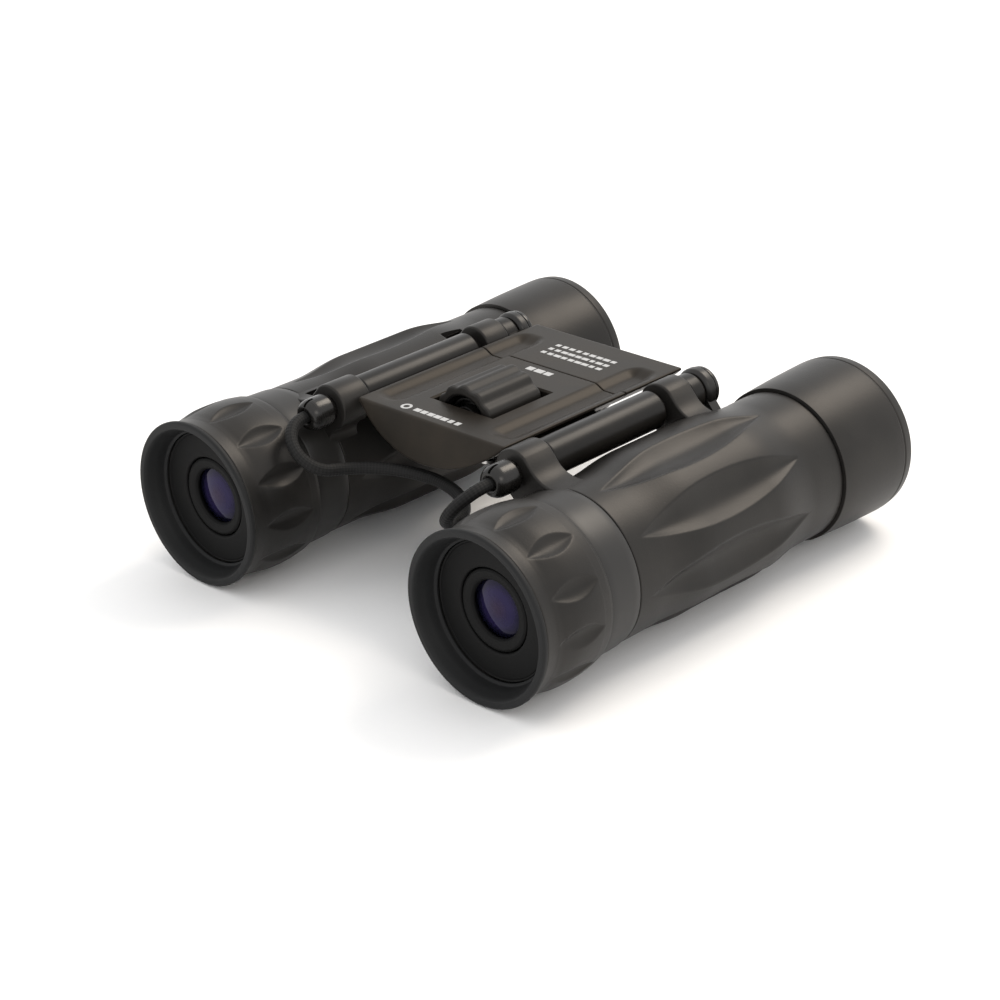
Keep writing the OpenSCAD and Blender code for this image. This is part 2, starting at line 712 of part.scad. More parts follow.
module slide_plate() color([0.22, 0.205, 0.19]) difference() {
    union() {
        intersection() {
            block([-bridge_half, plate_y, belly_z], [bridge_half, plate_end_y, top_z]);
            union() {
                block([-bridge_half, plate_y, frame_z], [bridge_half, plate_end_y, top_z]);
                translate([0, 0, belly_z + belly_arc_r]) ring(plate_y, plate_length, belly_arc_r);
            }
        }
        for (side = [-1, 1]) sided(side) {
            block([channel_half + 0.2, seam_y - tongue_length, frame_z + 0.8 + tongue_gap],
                  [tongue_half, plate_y + cut, cover_z - tongue_gap]);
            block([bridge_half - cut, collar_y, frame_z + 0.2],
                  [hinge_x, collar_y + collar_length, top_z - 0.4]);
            on_hinge() ring(collar_y, collar_length, knuckle_r - 0.8);
        }
    }
    for (side = [-1, 1]) sided(side)
        on_hinge() ring(collar_y - cut, collar_length + 2 * cut, rod_r);
    trough(plate_y - 2 * trough_r, plate_end_y - 4.5);
    translate([0, 0, wheel_z]) {
        ring(plate_y - cut, 5 + cut, screw_r);
        ring(screw_head_y, screw_head_thick + face_gap, screw_head_r + face_gap);
    }
    block([-11, plate_y + 4, belly_z - cut], [11, plate_end_y - 2, cover_z - 0.6]);
    block([-belly_half - 3, plate_y - cut, belly_z - 2 * cut],
          [belly_half + 3, plate_y + 3.9, belly_z + 1]);
}

module hinge_rod(side) color([0.25, 0.24, 0.23]) sided(side)
    on_hinge() ring(rod_near_y, cap_y - rod_near_y, rod_r);

module end_cap(side) color([0.1, 0.1, 0.1]) sided(side) on_hinge() difference() {
    turned([[0, cap_y], [knuckle_r - 0.5, cap_y], [knuckle_r - 0.5, cap_y + cap_length - 0.4],
            [knuckle_r - 0.9, cap_y + cap_length], [0, cap_y + cap_length]]);
    block([-2.6, cap_y + cap_length - 0.5, -0.4], [2.6, cap_y + cap_length + cut, 0.4]);
}

// ---------- the assembly ----------

bridge_frame();
top_cover();
belly_cover();
cover_screws();
focus_wheel();
wheel_grip();
slide_plate();
lead_screw();
hinge_rod(-1);  // left_hinge_rod
hinge_rod(1);  // right_hinge_rod
end_cap(-1);  // left_end_cap
end_cap(1);  // right_end_cap
strap_cord();
barrel_tube(-1);  // left_barrel_tube
armour(-1);  // left_armour
objective_hood(-1);  // left_objective_hood
eyepiece_tube(-1);  // left_eyepiece_tube
eyepiece_ring(-1);  // left_eyepiece_ring
eyecup(-1);  // left_eyecup
bezel(-1);  // left_bezel
ocular_cell(-1);  // left_ocular_cell
eye_lens(-1);  // left_eye_lens
field_lens(-1);  // left_field_lens
field_stop(-1);  // left_field_stop
prism_cage(-1);  // left_prism_cage
roof_prism(-1);  // left_roof_prism
half_prism(-1);  // left_half_prism
prism_clip(-1);  // left_prism_clip
strap_lug(-1);  // left_strap_lug
objective_cell(-1);  // left_objective_cell
objective_lens(-1);  // left_objective_lens
retaining_ring(-1);  // left_retaining_ring
focus_arm(-1);  // left_focus_arm
barrel_tube(1);  // right_barrel_tube
armour(1);  // right_armour
objective_hood(1);  // right_objective_hood
eyepiece_tube(1);  // right_eyepiece_tube
eyepiece_ring(1);  // right_eyepiece_ring
eyecup(1);  // right_eyecup
bezel(1);  // right_bezel
ocular_cell(1);  // right_ocular_cell
eye_lens(1);  // right_eye_lens
field_lens(1);  // right_field_lens
field_stop(1);  // right_field_stop
prism_cage(1);  // right_prism_cage
roof_prism(1);  // right_roof_prism
half_prism(1);  // right_half_prism
prism_clip(1);  // right_prism_clip
strap_lug(1);  // right_strap_lug
objective_cell(1);  // right_objective_cell
objective_lens(1);  // right_objective_lens
retaining_ring(1);  // right_retaining_ring
focus_arm(1);  // right_focus_arm
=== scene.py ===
"""The finished look of a pair of compact folding binoculars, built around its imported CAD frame.

Lengths are written in millimetres and turned into metres where a mesh is made. Round pieces are
turned outlines, the bridge plates are sections run along Y, and the right-hand pieces are mirrored
for the left. Y runs from the eyepieces (-) to the objectives (+).
"""

import math

import bmesh
import bpy
import numpy as np
from mathutils import Matrix, Vector


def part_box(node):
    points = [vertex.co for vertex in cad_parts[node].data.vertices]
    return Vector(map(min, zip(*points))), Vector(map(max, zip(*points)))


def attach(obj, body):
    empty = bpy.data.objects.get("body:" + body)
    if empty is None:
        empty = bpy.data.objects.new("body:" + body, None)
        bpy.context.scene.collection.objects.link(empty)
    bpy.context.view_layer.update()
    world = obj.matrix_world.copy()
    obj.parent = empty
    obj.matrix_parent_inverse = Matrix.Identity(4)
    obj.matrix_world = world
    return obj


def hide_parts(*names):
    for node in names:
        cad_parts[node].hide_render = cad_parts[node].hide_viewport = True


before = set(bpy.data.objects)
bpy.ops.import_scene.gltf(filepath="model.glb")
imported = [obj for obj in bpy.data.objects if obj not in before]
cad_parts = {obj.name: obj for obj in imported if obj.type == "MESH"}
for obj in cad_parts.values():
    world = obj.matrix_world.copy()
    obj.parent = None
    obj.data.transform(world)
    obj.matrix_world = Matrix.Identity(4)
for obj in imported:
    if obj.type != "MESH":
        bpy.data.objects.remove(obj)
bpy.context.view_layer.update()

MM = 0.001


# ---------- sizes from the frame, in millimetres ----------

def box(node):
    """Lowest and highest corner of a CAD node."""
    low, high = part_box(node)
    return np.array(low) / MM, np.array(high) / MM


CUP_LOW, CUP_HIGH = box("right_eyecup")
RING_LOW, RING_HIGH = box("right_eyepiece_ring")
TUBE_LOW, TUBE_HIGH = box("right_barrel_tube")
ARMOUR_LOW, ARMOUR_HIGH = box("right_armour")
HOOD_LOW, HOOD_HIGH = box("right_objective_hood")
ROD_LOW, ROD_HIGH = box("right_hinge_rod")
LUG_LOW, LUG_HIGH = box("right_strap_lug")
CAP_LOW, CAP_HIGH = box("right_end_cap")
ARM_LOW, ARM_HIGH = box("right_focus_arm")
COVER_LOW, COVER_HIGH = box("top_cover")
PLATE_LOW, PLATE_HIGH = box("slide_plate")
BELLY_LOW, BELLY_HIGH = box("belly_cover")
WHEEL_LOW, WHEEL_HIGH = box("wheel_grip")

AXIS = (CUP_LOW[0] + CUP_HIGH[0]) / 2, (CUP_LOW[2] + CUP_HIGH[2]) / 2
HINGE = (ROD_LOW[0] + ROD_HIGH[0]) / 2, (ROD_LOW[2] + ROD_HIGH[2]) / 2
WHEEL = 0.0, (WHEEL_LOW[2] + WHEEL_HIGH[2]) / 2
NEAR_Y, RIM_Y = CUP_LOW[1], HOOD_HIGH[1]
RING_Y, BAND_Y = CUP_HIGH[1], RING_HIGH[1] + 0.3
ARMOUR_Y, ARMOUR_END_Y = ARMOUR_LOW[1], ARMOUR_HIGH[1]
HOOD_Y = HOOD_LOW[1]
LIP_R = (CUP_HIGH[0] - CUP_LOW[0]) / 2
RING_R = RING_HIGH[2] - AXIS[1]
HOOD_R = HOOD_HIGH[2] - AXIS[1]
SWELL_R = 16.2
NEAR_WAIST_R = 15.1
FAR_WAIST_R = 14.75
BAND_R = 15.5
CUP_BORE_R = 14.0
MOUTH_R, HOOD_BORE_R = 14.8, 14.2
REACH = math.hypot(AXIS[0] - HINGE[0], HINGE[1] - AXIS[1])
TILT = math.atan2(AXIS[0] - HINGE[0], HINGE[1] - AXIS[1])
HINGE_ANGLE = math.pi / 2 + TILT
KNUCKLE_R = 4.5
NEAR_KNUCKLE = TUBE_LOW[1], TUBE_LOW[1] + 7
SLEEVE = NEAR_KNUCKLE[1] + 0.3, NEAR_KNUCKLE[1] + 30.5
FAR_KNUCKLE = SLEEVE[1] + 1.5, SLEEVE[1] + 7.5
COLLAR = FAR_KNUCKLE[1] + 0.3, FAR_KNUCKLE[1] + 3.8
SLEEVE_R = 3.7
TOP_Z = COVER_HIGH[2]
BRIDGE_Y = ARMOUR_Y + 1
SEAM_Y = COVER_HIGH[1]
BRIDGE_HALF = COVER_HIGH[0]
BELLY_Z = BELLY_LOW[2]


# ---------- camera, light and floor ----------

def add_camera():
    azimuth, elevation, roll = math.radians(45.27), math.radians(24.62), math.radians(-2.62)
    target = Vector((-1.4, -6.2, 11.8)) * MM
    back = Vector((math.sin(azimuth) * math.cos(elevation),
                   -math.cos(azimuth) * math.cos(elevation), math.sin(elevation)))
    right = (-back).cross(Vector((0, 0, 1))).normalized()
    up = back.cross(right)
    right, up = (right * math.cos(roll) + up * math.sin(roll),
                 up * math.cos(roll) - right * math.sin(roll))
    data = bpy.data.cameras.new("camera")
    data.sensor_width = 36
    data.lens = 93.06
    data.clip_start, data.clip_end = 0.01, 20
    camera = bpy.data.objects.new("camera", data)
    turn = Matrix((right, up, back)).transposed().to_4x4()
    camera.matrix_world = Matrix.Translation(target + back * 496.8 * MM) @ turn
    bpy.context.scene.collection.objects.link(camera)
    bpy.context.scene.camera = camera


def add_light(name, place, aim, size, power, colour=(1, 1, 1)):
    data = bpy.data.lights.new(name, "AREA")
    data.shape = "RECTANGLE"
    data.size, data.size_y = size
    data.energy = power
    data.color = colour
    light = bpy.data.objects.new(name, data)
    place, aim = Vector(place), Vector(aim)
    light.location = place
    light.rotation_mode = "QUATERNION"
    light.rotation_quaternion = (aim - place).to_track_quat("-Z", "Y")
    bpy.context.scene.collection.objects.link(light)


def add_studio():
    scene = bpy.context.scene
    scene.view_settings.view_transform = "Standard"
    world = bpy.data.worlds.new("studio")
    world.use_nodes = True
    background = world.node_tree.nodes["Background"]
    background.inputs["Color"].default_value = (1, 1, 1, 1)
    background.inputs["Strength"].default_value = 1.25
    scene.world = world
    centre = (0, 0, 0.02)
    add_light("key", (0.12, 0.62, 0.78), centre, (0.5, 0.35), 5, (1, 0.9, 0.78))
    add_light("side", (0.8, -0.25, 0.5), centre, (0.3, 0.3), 1, (1, 0.93, 0.86))
    mesh = bpy.data.meshes.new("floor")
    mesh.from_pydata([(-6, -6, 0), (6, -6, 0), (6, 6, 0), (-6, 6, 0)], [], [(0, 1, 2, 3)])
    floor = bpy.data.objects.new("floor", mesh)
    scene.collection.objects.link(floor)
    return floor


# ---------- materials ----------

class Value:
    """A number or colour that varies over a surface. Arithmetic on it adds Math nodes."""

    def __init__(self, paint, socket):
        self.paint = paint
        self.socket = socket

    def math(self, operation, *others, clamp=False):
        settings = {"operation": operation, "use_clamp": clamp}
        return self.paint.node("Math", settings, dict(enumerate((self, *others))))

    def __add__(self, other):
        return self.math("ADD", other)

    def __sub__(self, other):
        return self.math("SUBTRACT", other)

    def __rsub__(self, other):
        return self.paint.node("Math", {"operation": "SUBTRACT"}, {0: other, 1: self})

    def __mul__(self, other):
        return self.math("MULTIPLY", other)

    def __truediv__(self, other):
        return self.math("DIVIDE", other)

    def __pow__(self, other):
        return self.math("POWER", other)

    def __neg__(self):
        return self * -1

    __radd__, __rmul__ = __add__, __mul__

    def fade(self, low, high):
        """0 below low and 1 above high, with a smooth step between."""
        return self.paint.node("MapRange", {"interpolation_type": "SMOOTHSTEP"},
                               {"Value": self, "From Min": low, "From Max": high})

    def sine(self):
        return self.math("SINE")

    def absolute(self):
        return self.math("ABSOLUTE")


class Paint:
    """One material round a Principled shader."""

    def __init__(self, name, **constants):
        self.material = bpy.data.materials.new(name)
        self.material.use_nodes = True
        self.tree = self.material.node_tree
        self.tree.nodes.clear()
        self.shader = self.tree.nodes.new("ShaderNodeBsdfPrincipled")
        output = self.tree.nodes.new("ShaderNodeOutputMaterial")
        self.tree.links.new(self.shader.outputs[0], output.inputs["Surface"])
        for socket, value in constants.items():
            self.shader.inputs[socket.replace("_", " ")].default_value = value

    def node(self, kind, settings=None, values=None, output=0):
        """Adds a shader node: its settings first, then the values or links of its sockets."""
        made = self.tree.nodes.new("ShaderNode" + kind)
        for name, value in (settings or {}).items():
            if name == "stops":
                for place, (position, colour) in enumerate(value):
                    ramp = made.color_ramp.elements
                    stop = ramp[place] if place < 2 else ramp.new(position)
                    stop.position, stop.color = position, (*colour, 1)
            else:
                setattr(made, name, value)
        for name, value in (values or {}).items():
            self.feed(made.inputs[name], value)
        return Value(self, made.outputs[output])

    def feed(self, socket, value):
        if isinstance(value, Value):
            self.tree.links.new(value.socket, socket)
        else:
            socket.default_value = value

    def varies(self, **sockets):
        for name, value in sockets.items():
            self.feed(self.shader.inputs[name.replace("_", " ")], value)
        return self

    def place(self):
        """The point on the piece, in metres."""
        return self.node("TexCoord", output="Object")

    def parts(self, vector):
        """The three parts of a vector."""
        split = self.node("SeparateXYZ", None, {0: vector}).socket.node
        return [Value(self, split.outputs[k]) for k in range(3)]

    def noise(self, size, detail=3.0, rough=0.55, where=None):
        """Soft noise from 0 to 1, whose lumps are size millimetres across."""
        values = {"Vector": where or self.place(), "Scale": 1 / (size * MM), "Detail": detail,
                  "Roughness": rough}
        return self.node("TexNoise", None, values)

    def cells(self, size, where=None):
        """Distance to the nearest of random points that are about size millimetres apart."""
        values = {"Vector": where or self.place(), "Scale": 1 / (size * MM)}
        return self.node("TexVoronoi", None, values)

    def blend(self, amount, low, high):
        """A colour between low and high."""
        return self.node("Mix", {"data_type": "RGBA"}, {0: amount, 6: low, 7: high}, output=2)

    def bump(self, height, depth, strength=1.0, under=None):
        """Normals of a height from 0 to 1 that stands depth millimetres high."""
        values = {"Height": height, "Distance": depth * MM, "Strength": strength}
        if under is not None:
            values["Normal"] = under
        return self.node("Bump", None, values)

    def off_axis(self, axis):
        """Distance in millimetres from a line along Y."""
        x, y, z = self.parts(self.place())
        across, up = x.absolute() / MM - axis[0], z / MM - axis[1]
        return (across * across + up * up).math("SQRT")


def grey(level, warm=0.0, alpha=1.0):
    """A near-neutral colour: warm above 0 leans to brown, below 0 to blue."""
    return level * (1 + warm), level, level * (1 - warm), alpha


def soft_touch():
    """Moulded rubber paint: a fine mist texture, handling sheen and a few dust specks."""
    paint = Paint("soft_touch_rubber", Specular_IOR_Level=0.25,
                  Specular_Tint=(1.0, 0.96, 0.92, 1))
    mist, patches = paint.noise(0.35, 4), paint.noise(14, 3)
    dust = (1 - paint.cells(2.6)).fade(0.955, 0.985) * paint.noise(9, 1).fade(0.5, 0.7)
    tone = paint.blend(patches.fade(0.3, 0.7), grey(0.008, 0.05), grey(0.013, 0.08))
    paint.varies(Base_Color=paint.blend(dust * 0.3, tone, grey(0.09, 0.03)),
                 Roughness=patches * 0.12 + mist * 0.08 + 0.3,
                 Normal=paint.bump(mist, 0.035, 0.5))
    return paint.material


def cup_rubber():
    """Plain black rubber, a little chalky, with fine turned lines inside the cup."""
    paint = Paint("cup_rubber", Specular_IOR_Level=0.2)
    grain, patches = paint.noise(0.25, 4), paint.noise(8, 3)
    lines = (paint.off_axis(AXIS) * (2 * math.pi / 0.45)).sine() * 0.5 + 0.5
    paint.varies(Base_Color=paint.blend(patches, grey(0.007, -0.05), grey(0.013, -0.03)),
                 Roughness=patches * 0.15 + 0.5,
                 Normal=paint.bump(grain * 0.6 + lines * 0.4, 0.03, 0.4))
    return paint.material


def band_plastic():
    paint = Paint("band_plastic", Specular_IOR_Level=0.35)
    grain, patches = paint.noise(0.2, 4), paint.noise(10, 3)
    paint.varies(Base_Color=paint.blend(patches, grey(0.011, 0.05), grey(0.016, 0.08)),
                 Roughness=patches * 0.12 + 0.36,
                 Normal=paint.bump(grain, 0.02, 0.4))
    return paint.material


def cover_paint():
    """Baked satin paint on the bridge plates, warm and faintly grained."""
    paint = Paint("cover_paint", Coat_Roughness=0.45, Specular_IOR_Level=0.16,
                  Specular_Tint=(1.0, 0.88, 0.74, 1))
    grain, cloud, streak = paint.noise(0.12, 5, 0.65), paint.noise(11, 3), paint.noise(2.4, 4)
    tone = paint.blend(cloud.fade(0.3, 0.7), grey(0.010, 0.16), grey(0.015, 0.22))
    rubbed = streak.fade(0.62, 0.8) * cloud.fade(0.5, 0.7)
    paint.varies(Base_Color=paint.blend(rubbed * 0.35, tone, grey(0.036, 0.2)),
                 Roughness=cloud * 0.12 + grain * 0.1 + 0.3,
                 Coat_Weight=cloud * 0.05,
                 Normal=paint.bump(grain, 0.012, 0.5))
    return paint.material


def frame_plastic():
    paint = Paint("frame_plastic", Specular_IOR_Level=0.3)
    grain, patches = paint.noise(0.18, 4), paint.noise(7, 3)
    paint.varies(Base_Color=paint.blend(patches, grey(0.008, 0.06), grey(0.013, 0.1)),
                 Roughness=patches * 0.15 + 0.34,
                 Normal=paint.bump(grain, 0.015, 0.4))
    return paint.material


def sleeve_enamel():
    """Semi-gloss bronze black on the hinge sleeves, with orange peel."""
    paint = Paint("sleeve_enamel", Coat_Roughness=0.3, Specular_IOR_Level=0.2)
    peel, cloud = paint.noise(0.7, 2), paint.noise(6, 3)
    scuff = paint.noise(0.5, 6, 0.7).fade(0.6, 0.75) * cloud.fade(0.45, 0.7)
    paint.varies(Base_Color=paint.blend(cloud, grey(0.004, 0.12), grey(0.007, 0.2)),
                 Roughness=cloud * 0.08 + scuff * 0.08 + 0.3,
                 Coat_Weight=cloud * 0.05,
                 Normal=paint.bump(peel, 0.008, 0.2))
    return paint.material


def black_metal(name, level, gloss):
    """Black-finished metal with faint turning marks along Y and brighter rubbed spots."""
    paint = Paint(name, Coat_Roughness=0.15)
    x, y, z = paint.parts(paint.place())
    turned_marks = paint.noise(1.4, 3, where=paint.node("CombineXYZ", None, {1: y * 6}))
    cloud, spots = paint.noise(4, 3), paint.noise(0.6, 5, 0.7)
    rubbed = spots.fade(0.64, 0.78)
    paint.varies(Base_Color=paint.blend(rubbed * 0.5, grey(level, 0.08), grey(level * 3, 0.12)),
                 Metallic=rubbed * 0.4 + 0.35,
                 Roughness=cloud * 0.12 + turned_marks * 0.08 + gloss,
                 Normal=paint.bump(turned_marks, 0.01, 0.3))
    return paint.material


def matt_black():
    """Anti-glare black inside the barrels, with fine baffle lines."""
    paint = Paint("matt_black", Specular_IOR_Level=0.15)
    ridges = (paint.off_axis(AXIS) * (2 * math.pi / 0.3)).sine() * 0.5 + 0.5
    grain = paint.noise(0.3, 4)
    paint.varies(Base_Color=paint.blend(grain, grey(0.003), grey(0.006)),
                 Roughness=grain * 0.15 + 0.55,
                 Normal=paint.bump(ridges * 0.6 + grain * 0.4, 0.03, 0.4))
    return paint.material


def glass_with_painted_reflection(name, radius, rim, ring, core):
    """A lens with an anti-glare coating. Its base colour is a painted reflection of the coating: a tint that
    shifts from the rim to the middle.
    """
    paint = Paint(name, Roughness=0.04, IOR=1.5, Specular_IOR_Level=0.2, Coat_Weight=0.06,
                  Coat_Roughness=0.02, Specular_Tint=(0.5, 0.42, 1.0, 1))
    away = paint.off_axis(AXIS) / radius
    wobble = paint.noise(1.6, 2) * 0.12
    # painted reflection: the coating's coloured reflection laid into the base colour, from the core through
    # the ring to the rim
    reflection_tint = paint.blend((away + wobble).fade(0.12, 0.6), core, ring)
    reflection_tint = paint.blend((away + wobble).fade(0.62, 0.98), reflection_tint, rim)
    paint.varies(Base_Color=reflection_tint, Metallic=away.fade(0.9, 0.2) * 0.1,
                 Alpha=away.fade(0.0, 0.5) * 0.06 + 0.92)
    return paint.material


def clear_prism():
    paint = Paint("prism_glass", IOR=1.56, Transmission_Weight=0.9)
    haze = paint.noise(6, 3)
    paint.varies(Base_Color=paint.blend(haze, (0.86, 0.93, 0.95, 1), (0.94, 0.98, 1.0, 1)),
                 Roughness=haze * 0.05 + 0.02)
    return paint.material


def bright_steel():
    paint = Paint("bright_steel", Metallic=1.0)
    brushed, cloud = paint.noise(0.15, 4), paint.noise(3, 2)
    paint.varies(Base_Color=paint.blend(cloud, grey(0.42, 0.02), grey(0.55, 0.02)),
                 Roughness=brushed * 0.15 + 0.22,
                 Normal=paint.bump(brushed, 0.008, 0.3))
    return paint.material


def wheel_rubber():
    paint = Paint("wheel_rubber", Coat_Roughness=0.5, Specular_IOR_Level=0.22)
    grain, cloud = paint.noise(0.22, 4), paint.noise(5, 3)
    paint.varies(Base_Color=paint.blend(cloud, grey(0.010, 0.1), grey(0.015, 0.14)),
                 Roughness=cloud * 0.12 + 0.42,
                 Coat_Weight=cloud * 0.05,
                 Normal=paint.bump(grain, 0.02, 0.35))
    return paint.material


def braid_cord():
    """Nylon braid: crossing bundles of filaments, read from the cord's own U and V. Its colour is darker in
    the hollows of the weave than on the crowns, which is painted shade.
    """
    paint = Paint("braided_nylon", Specular_IOR_Level=0.2)
    along, around, _ = paint.parts(paint.node("UVMap", {"uv_map": "cord"}))
    left = (along * 2 * math.pi + around * 2 * math.pi * 8).sine()
    right = (along * 2 * math.pi - around * 2 * math.pi * 8).sine()
    threads = ((along * 7 + around * 22) * 2 * math.pi).sine() * 0.5 + 0.5
    crossing = (left * right * 0.5 + 0.5)
    fuzz = paint.noise(0.12, 3)
    # painted shade: the colour follows the weave's height, darker in the hollows between strands
    paint.varies(Base_Color=paint.blend(crossing * 0.7 + threads * 0.3, grey(0.002),
                                        grey(0.012, 0.02)),
                 Roughness=fuzz * 0.2 + 0.5,
                 Normal=paint.bump(crossing * 0.7 + threads * 0.15 + fuzz * 0.15, 0.09, 0.8))
    return paint.material


def print_ink():
    paint = Paint("print_ink")
    speckle = paint.noise(0.15, 4)
    paint.varies(Base_Color=paint.blend(speckle.fade(0.2, 0.5), grey(0.24), grey(0.42)),
                 Roughness=speckle * 0.2 + 0.4)
    return paint.material


def floor_card():
    paint = Paint("floor_card")
    tooth = paint.noise(1.2, 4)
    paint.varies(Base_Color=paint.blend(tooth, grey(0.86), grey(0.88)),
                 Roughness=tooth * 0.1 + 0.7)
    return paint.material


# ---------- mesh tools ----------

def shell_mesh(name, shells, mirror):
    """One mesh from shells of (points in mm, faces)."""
    points, faces = [], []
    for shell_points, shell_faces in shells:
        first = len(points)
        points.extend(map(tuple, np.asarray(shell_points, float) * MM))
        faces.extend([tuple(first + k for k in face) for face in shell_faces])
    mesh = bpy.data.meshes.new(name)
    mesh.from_pydata(points, [], faces)
    if mirror:
        mesh.transform(Matrix.Scale(-1, 4, (1, 0, 0)))
    return mesh


def make_piece(name, shells, material, body, replaces=(), sharp=38, mirror=False):
    """Joins shells of (points in mm, faces) into one piece that rides on a body."""
    return dress(name, shell_mesh(name, shells, mirror), material, body, replaces, sharp)


def dress(name, mesh, material, body, replaces, sharp=38):
    work = bmesh.new()
    work.from_mesh(mesh)
    bmesh.ops.remove_doubles(work, verts=work.verts, dist=1e-7)
    bmesh.ops.recalc_face_normals(work, faces=work.faces)
    work.to_mesh(mesh)
    work.free()
    mesh.shade_smooth()
    mesh.set_sharp_from_angle(angle=math.radians(sharp))
    mesh.materials.clear()
    mesh.materials.append(material)
    made = bpy.data.objects.new(name, mesh)
    bpy.context.scene.collection.objects.link(made)
    if body:
        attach(made, body)
        if replaces:
            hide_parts(*replaces)
    return made


def soften(corners, steps=5):
    """Rounds a closed outline: each corner is (a, b) or (a, b, radius)."""
    flat = [np.array(c[:2], float) for c in corners]
    made = []
    for k, corner in enumerate(corners):
        here, before, after = flat[k], flat[k - 1], flat[(k + 1) % len(flat)]
        radius = corner[2] if len(corner) > 2 else 0
        if not radius:
            made.append(here)
            continue
        back, on = before - here, after - here
        reach = min(radius, np.linalg.norm(back) * 0.48, np.linalg.norm(on) * 0.48)
        start = here + back / np.linalg.norm(back) * reach
        end = here + on / np.linalg.norm(on) * reach
        for t in np.linspace(0, 1, steps):
            made.append((1 - t) ** 2 * start + 2 * t * (1 - t) * here + t * t * end)
    return np.array(made)


def turn(outline, axis, segments=144, shape=None):
    """Turns a closed outline of [radius, y] about a line along Y. shape(angle, radius, y)
    may give another radius."""
    outline = np.asarray(outline, float)
    count = len(outline)
    angle = np.arange(segments)[:, None] * 2 * math.pi / segments
    radius = np.broadcast_to(outline[:, 0], (segments, count))
    along = np.broadcast_to(outline[:, 1], (segments, count))
    if shape is not None:
        radius = shape(angle, radius, along)
    points = np.stack([axis[0] + radius * np.cos(angle), along,
                       axis[1] + radius * np.sin(angle)], -1).reshape(-1, 3)
    return points, loop_faces(segments, count, True)


def loop_faces(rows, columns, closed_rows):
    """Quads between neighbouring rows of a grid whose columns close on themselves."""
    faces = []
    for i in range(rows if closed_rows else rows - 1):
        here, there = i * columns, (i + 1) % rows * columns
        for j in range(columns):
            k = (j + 1) % columns
            faces.append((here + j, here + k, there + k, there + j))
    return faces


def run(sections, paired=False):
    """A closed solid through sections, each the same number of [x, y, z] points in a loop.
    A paired section's first half lies over its second half, so its ends close in strips."""
    sections = np.asarray(sections, float)
    rows, columns = sections.shape[:2]
    faces = loop_faces(rows, columns, False)
    for first, way in ((0, -1), ((rows - 1) * columns, 1)):
        if paired:
            ends = [(k, k + 1, columns - 2 - k, columns - 1 - k) for k in range(columns // 2 - 1)]
        else:
            ends = [tuple(range(columns))]
        faces.extend(tuple(first + k for k in face)[::way] for face in ends)
    return sections.reshape(-1, 3), faces


def block(low, high, edge=0.3, steps=3):
    """A box with its long edges rounded, run along Y."""
    rows = []
    for y, inset in ((low[1], edge * 0.6), (low[1] + edge * 0.3, edge * 0.15), (low[1] + edge, 0),
                     (high[1] - edge, 0), (high[1] - edge * 0.3, edge * 0.15),
                     (high[1], edge * 0.6)):
        a, b = low[0] + inset, high[0] - inset
        c, d = low[2] + inset, high[2] - inset
        outline = soften([(a, c, edge), (b, c, edge), (b, d, edge), (a, d, edge)], steps)
        rows.append([(x, y, z) for x, z in outline])
    return run(rows)


def smooth(t):
    t = np.clip(t, 0, 1)
    return t * t * (3 - 2 * t)


def ease(t):
    return (1 - np.cos(math.pi * np.clip(t, 0, 1))) / 2


def scoop(across, along, half_width, half_length, depth, crisp=0.07):
    """Depth of a pointed, leaf-shaped scoop, in a surface that it meets at a crisp edge."""
    taper = np.maximum(1 - (along / half_length) ** 2, 0.02)
    bowl = depth * (taper - (across / half_width) ** 2 / taper)
    bowl = np.where(np.abs(along) > half_length * 1.02, -1.0, bowl)
    return (bowl + np.sqrt(bowl * bowl + crisp * crisp)) / 2


def slot_depth(across, along, half_width, half_length, depth, wall=0.22):
    """Depth of a steep-sided slot."""
    inside = np.minimum(half_width - np.abs(across), half_length - np.abs(along))
    return depth * smooth(inside / wall + 0.5)


def wrap(angle):
    return (angle + math.pi) % (2 * math.pi) - math.pi


# ---------- cord ----------

CORD_D = 2.4
LUG_MID_Y = NEAR_KNUCKLE[0] - 3.3
CORD_BEND = 2.45 * CORD_D
CORD_SAG = [
    (-0.62, -3, -8), (-0.565, -0.2, -8.4), (-0.47, 2.3, -8.6), (-0.335, 4.4, -8.75),
    (-0.17, 5.8, -8.85), (0.03, 6.2, -8.85), (0.225, 5.5, -8.9), (0.39, 4, -8.95),
    (0.53, 1.8, -9), (0.625, -0.7, -9.05), (0.675, -3.3, -9),
]


def cord_loop(side, lean):
    """Places round the half turn below one lug, from its mouth."""
    made = []
    for a in np.radians(np.arange(0, 151, 30)):
        out = CORD_BEND * (1 - math.cos(a))
        made.append((side * (HINGE[0] - out * math.sin(lean)),
                     LUG_LOW[1] - 0.4 - CORD_BEND * math.sin(a), HINGE[1] - out * math.cos(lean)))
    return made


CORD_ROUTE = ([(-HINGE[0], LUG_MID_Y, HINGE[1])] + cord_loop(-1, math.radians(48))
              + [(x * HINGE[0], LUG_MID_Y + y, HINGE[1] + z) for x, y, z in CORD_SAG]
              + cord_loop(1, math.radians(40))[::-1] + [(HINGE[0], LUG_MID_Y, HINGE[1])])


def spline(points, steps):
    """A smooth curve through points."""
    points = np.array(points, float)
    padded = np.vstack([points[:1], points, points[-1:]])
    made = []
    for k in range(len(points) - 1):
        p, q, r, s = padded[k:k + 4]
        for t in np.arange(steps) / steps:
            made.append(0.5 * (2 * q + (r - p) * t + (2 * p - 5 * q + 4 * r - s) * t ** 2
                               + (3 * q - p - 3 * r + s) * t ** 3))
    made.append(points[-1])
    return np.array(made)


def even(line, pitch):
    """The same line with its points pitch apart."""
    gone = np.concatenate([[0], np.cumsum(np.linalg.norm(np.diff(line, axis=0), axis=1))])
    want = np.linspace(0, gone[-1], int(round(gone[-1] / pitch)) + 1)
    return np.stack([np.interp(want, gone, line[:, k]) for k in range(3)], 1), gone[-1]


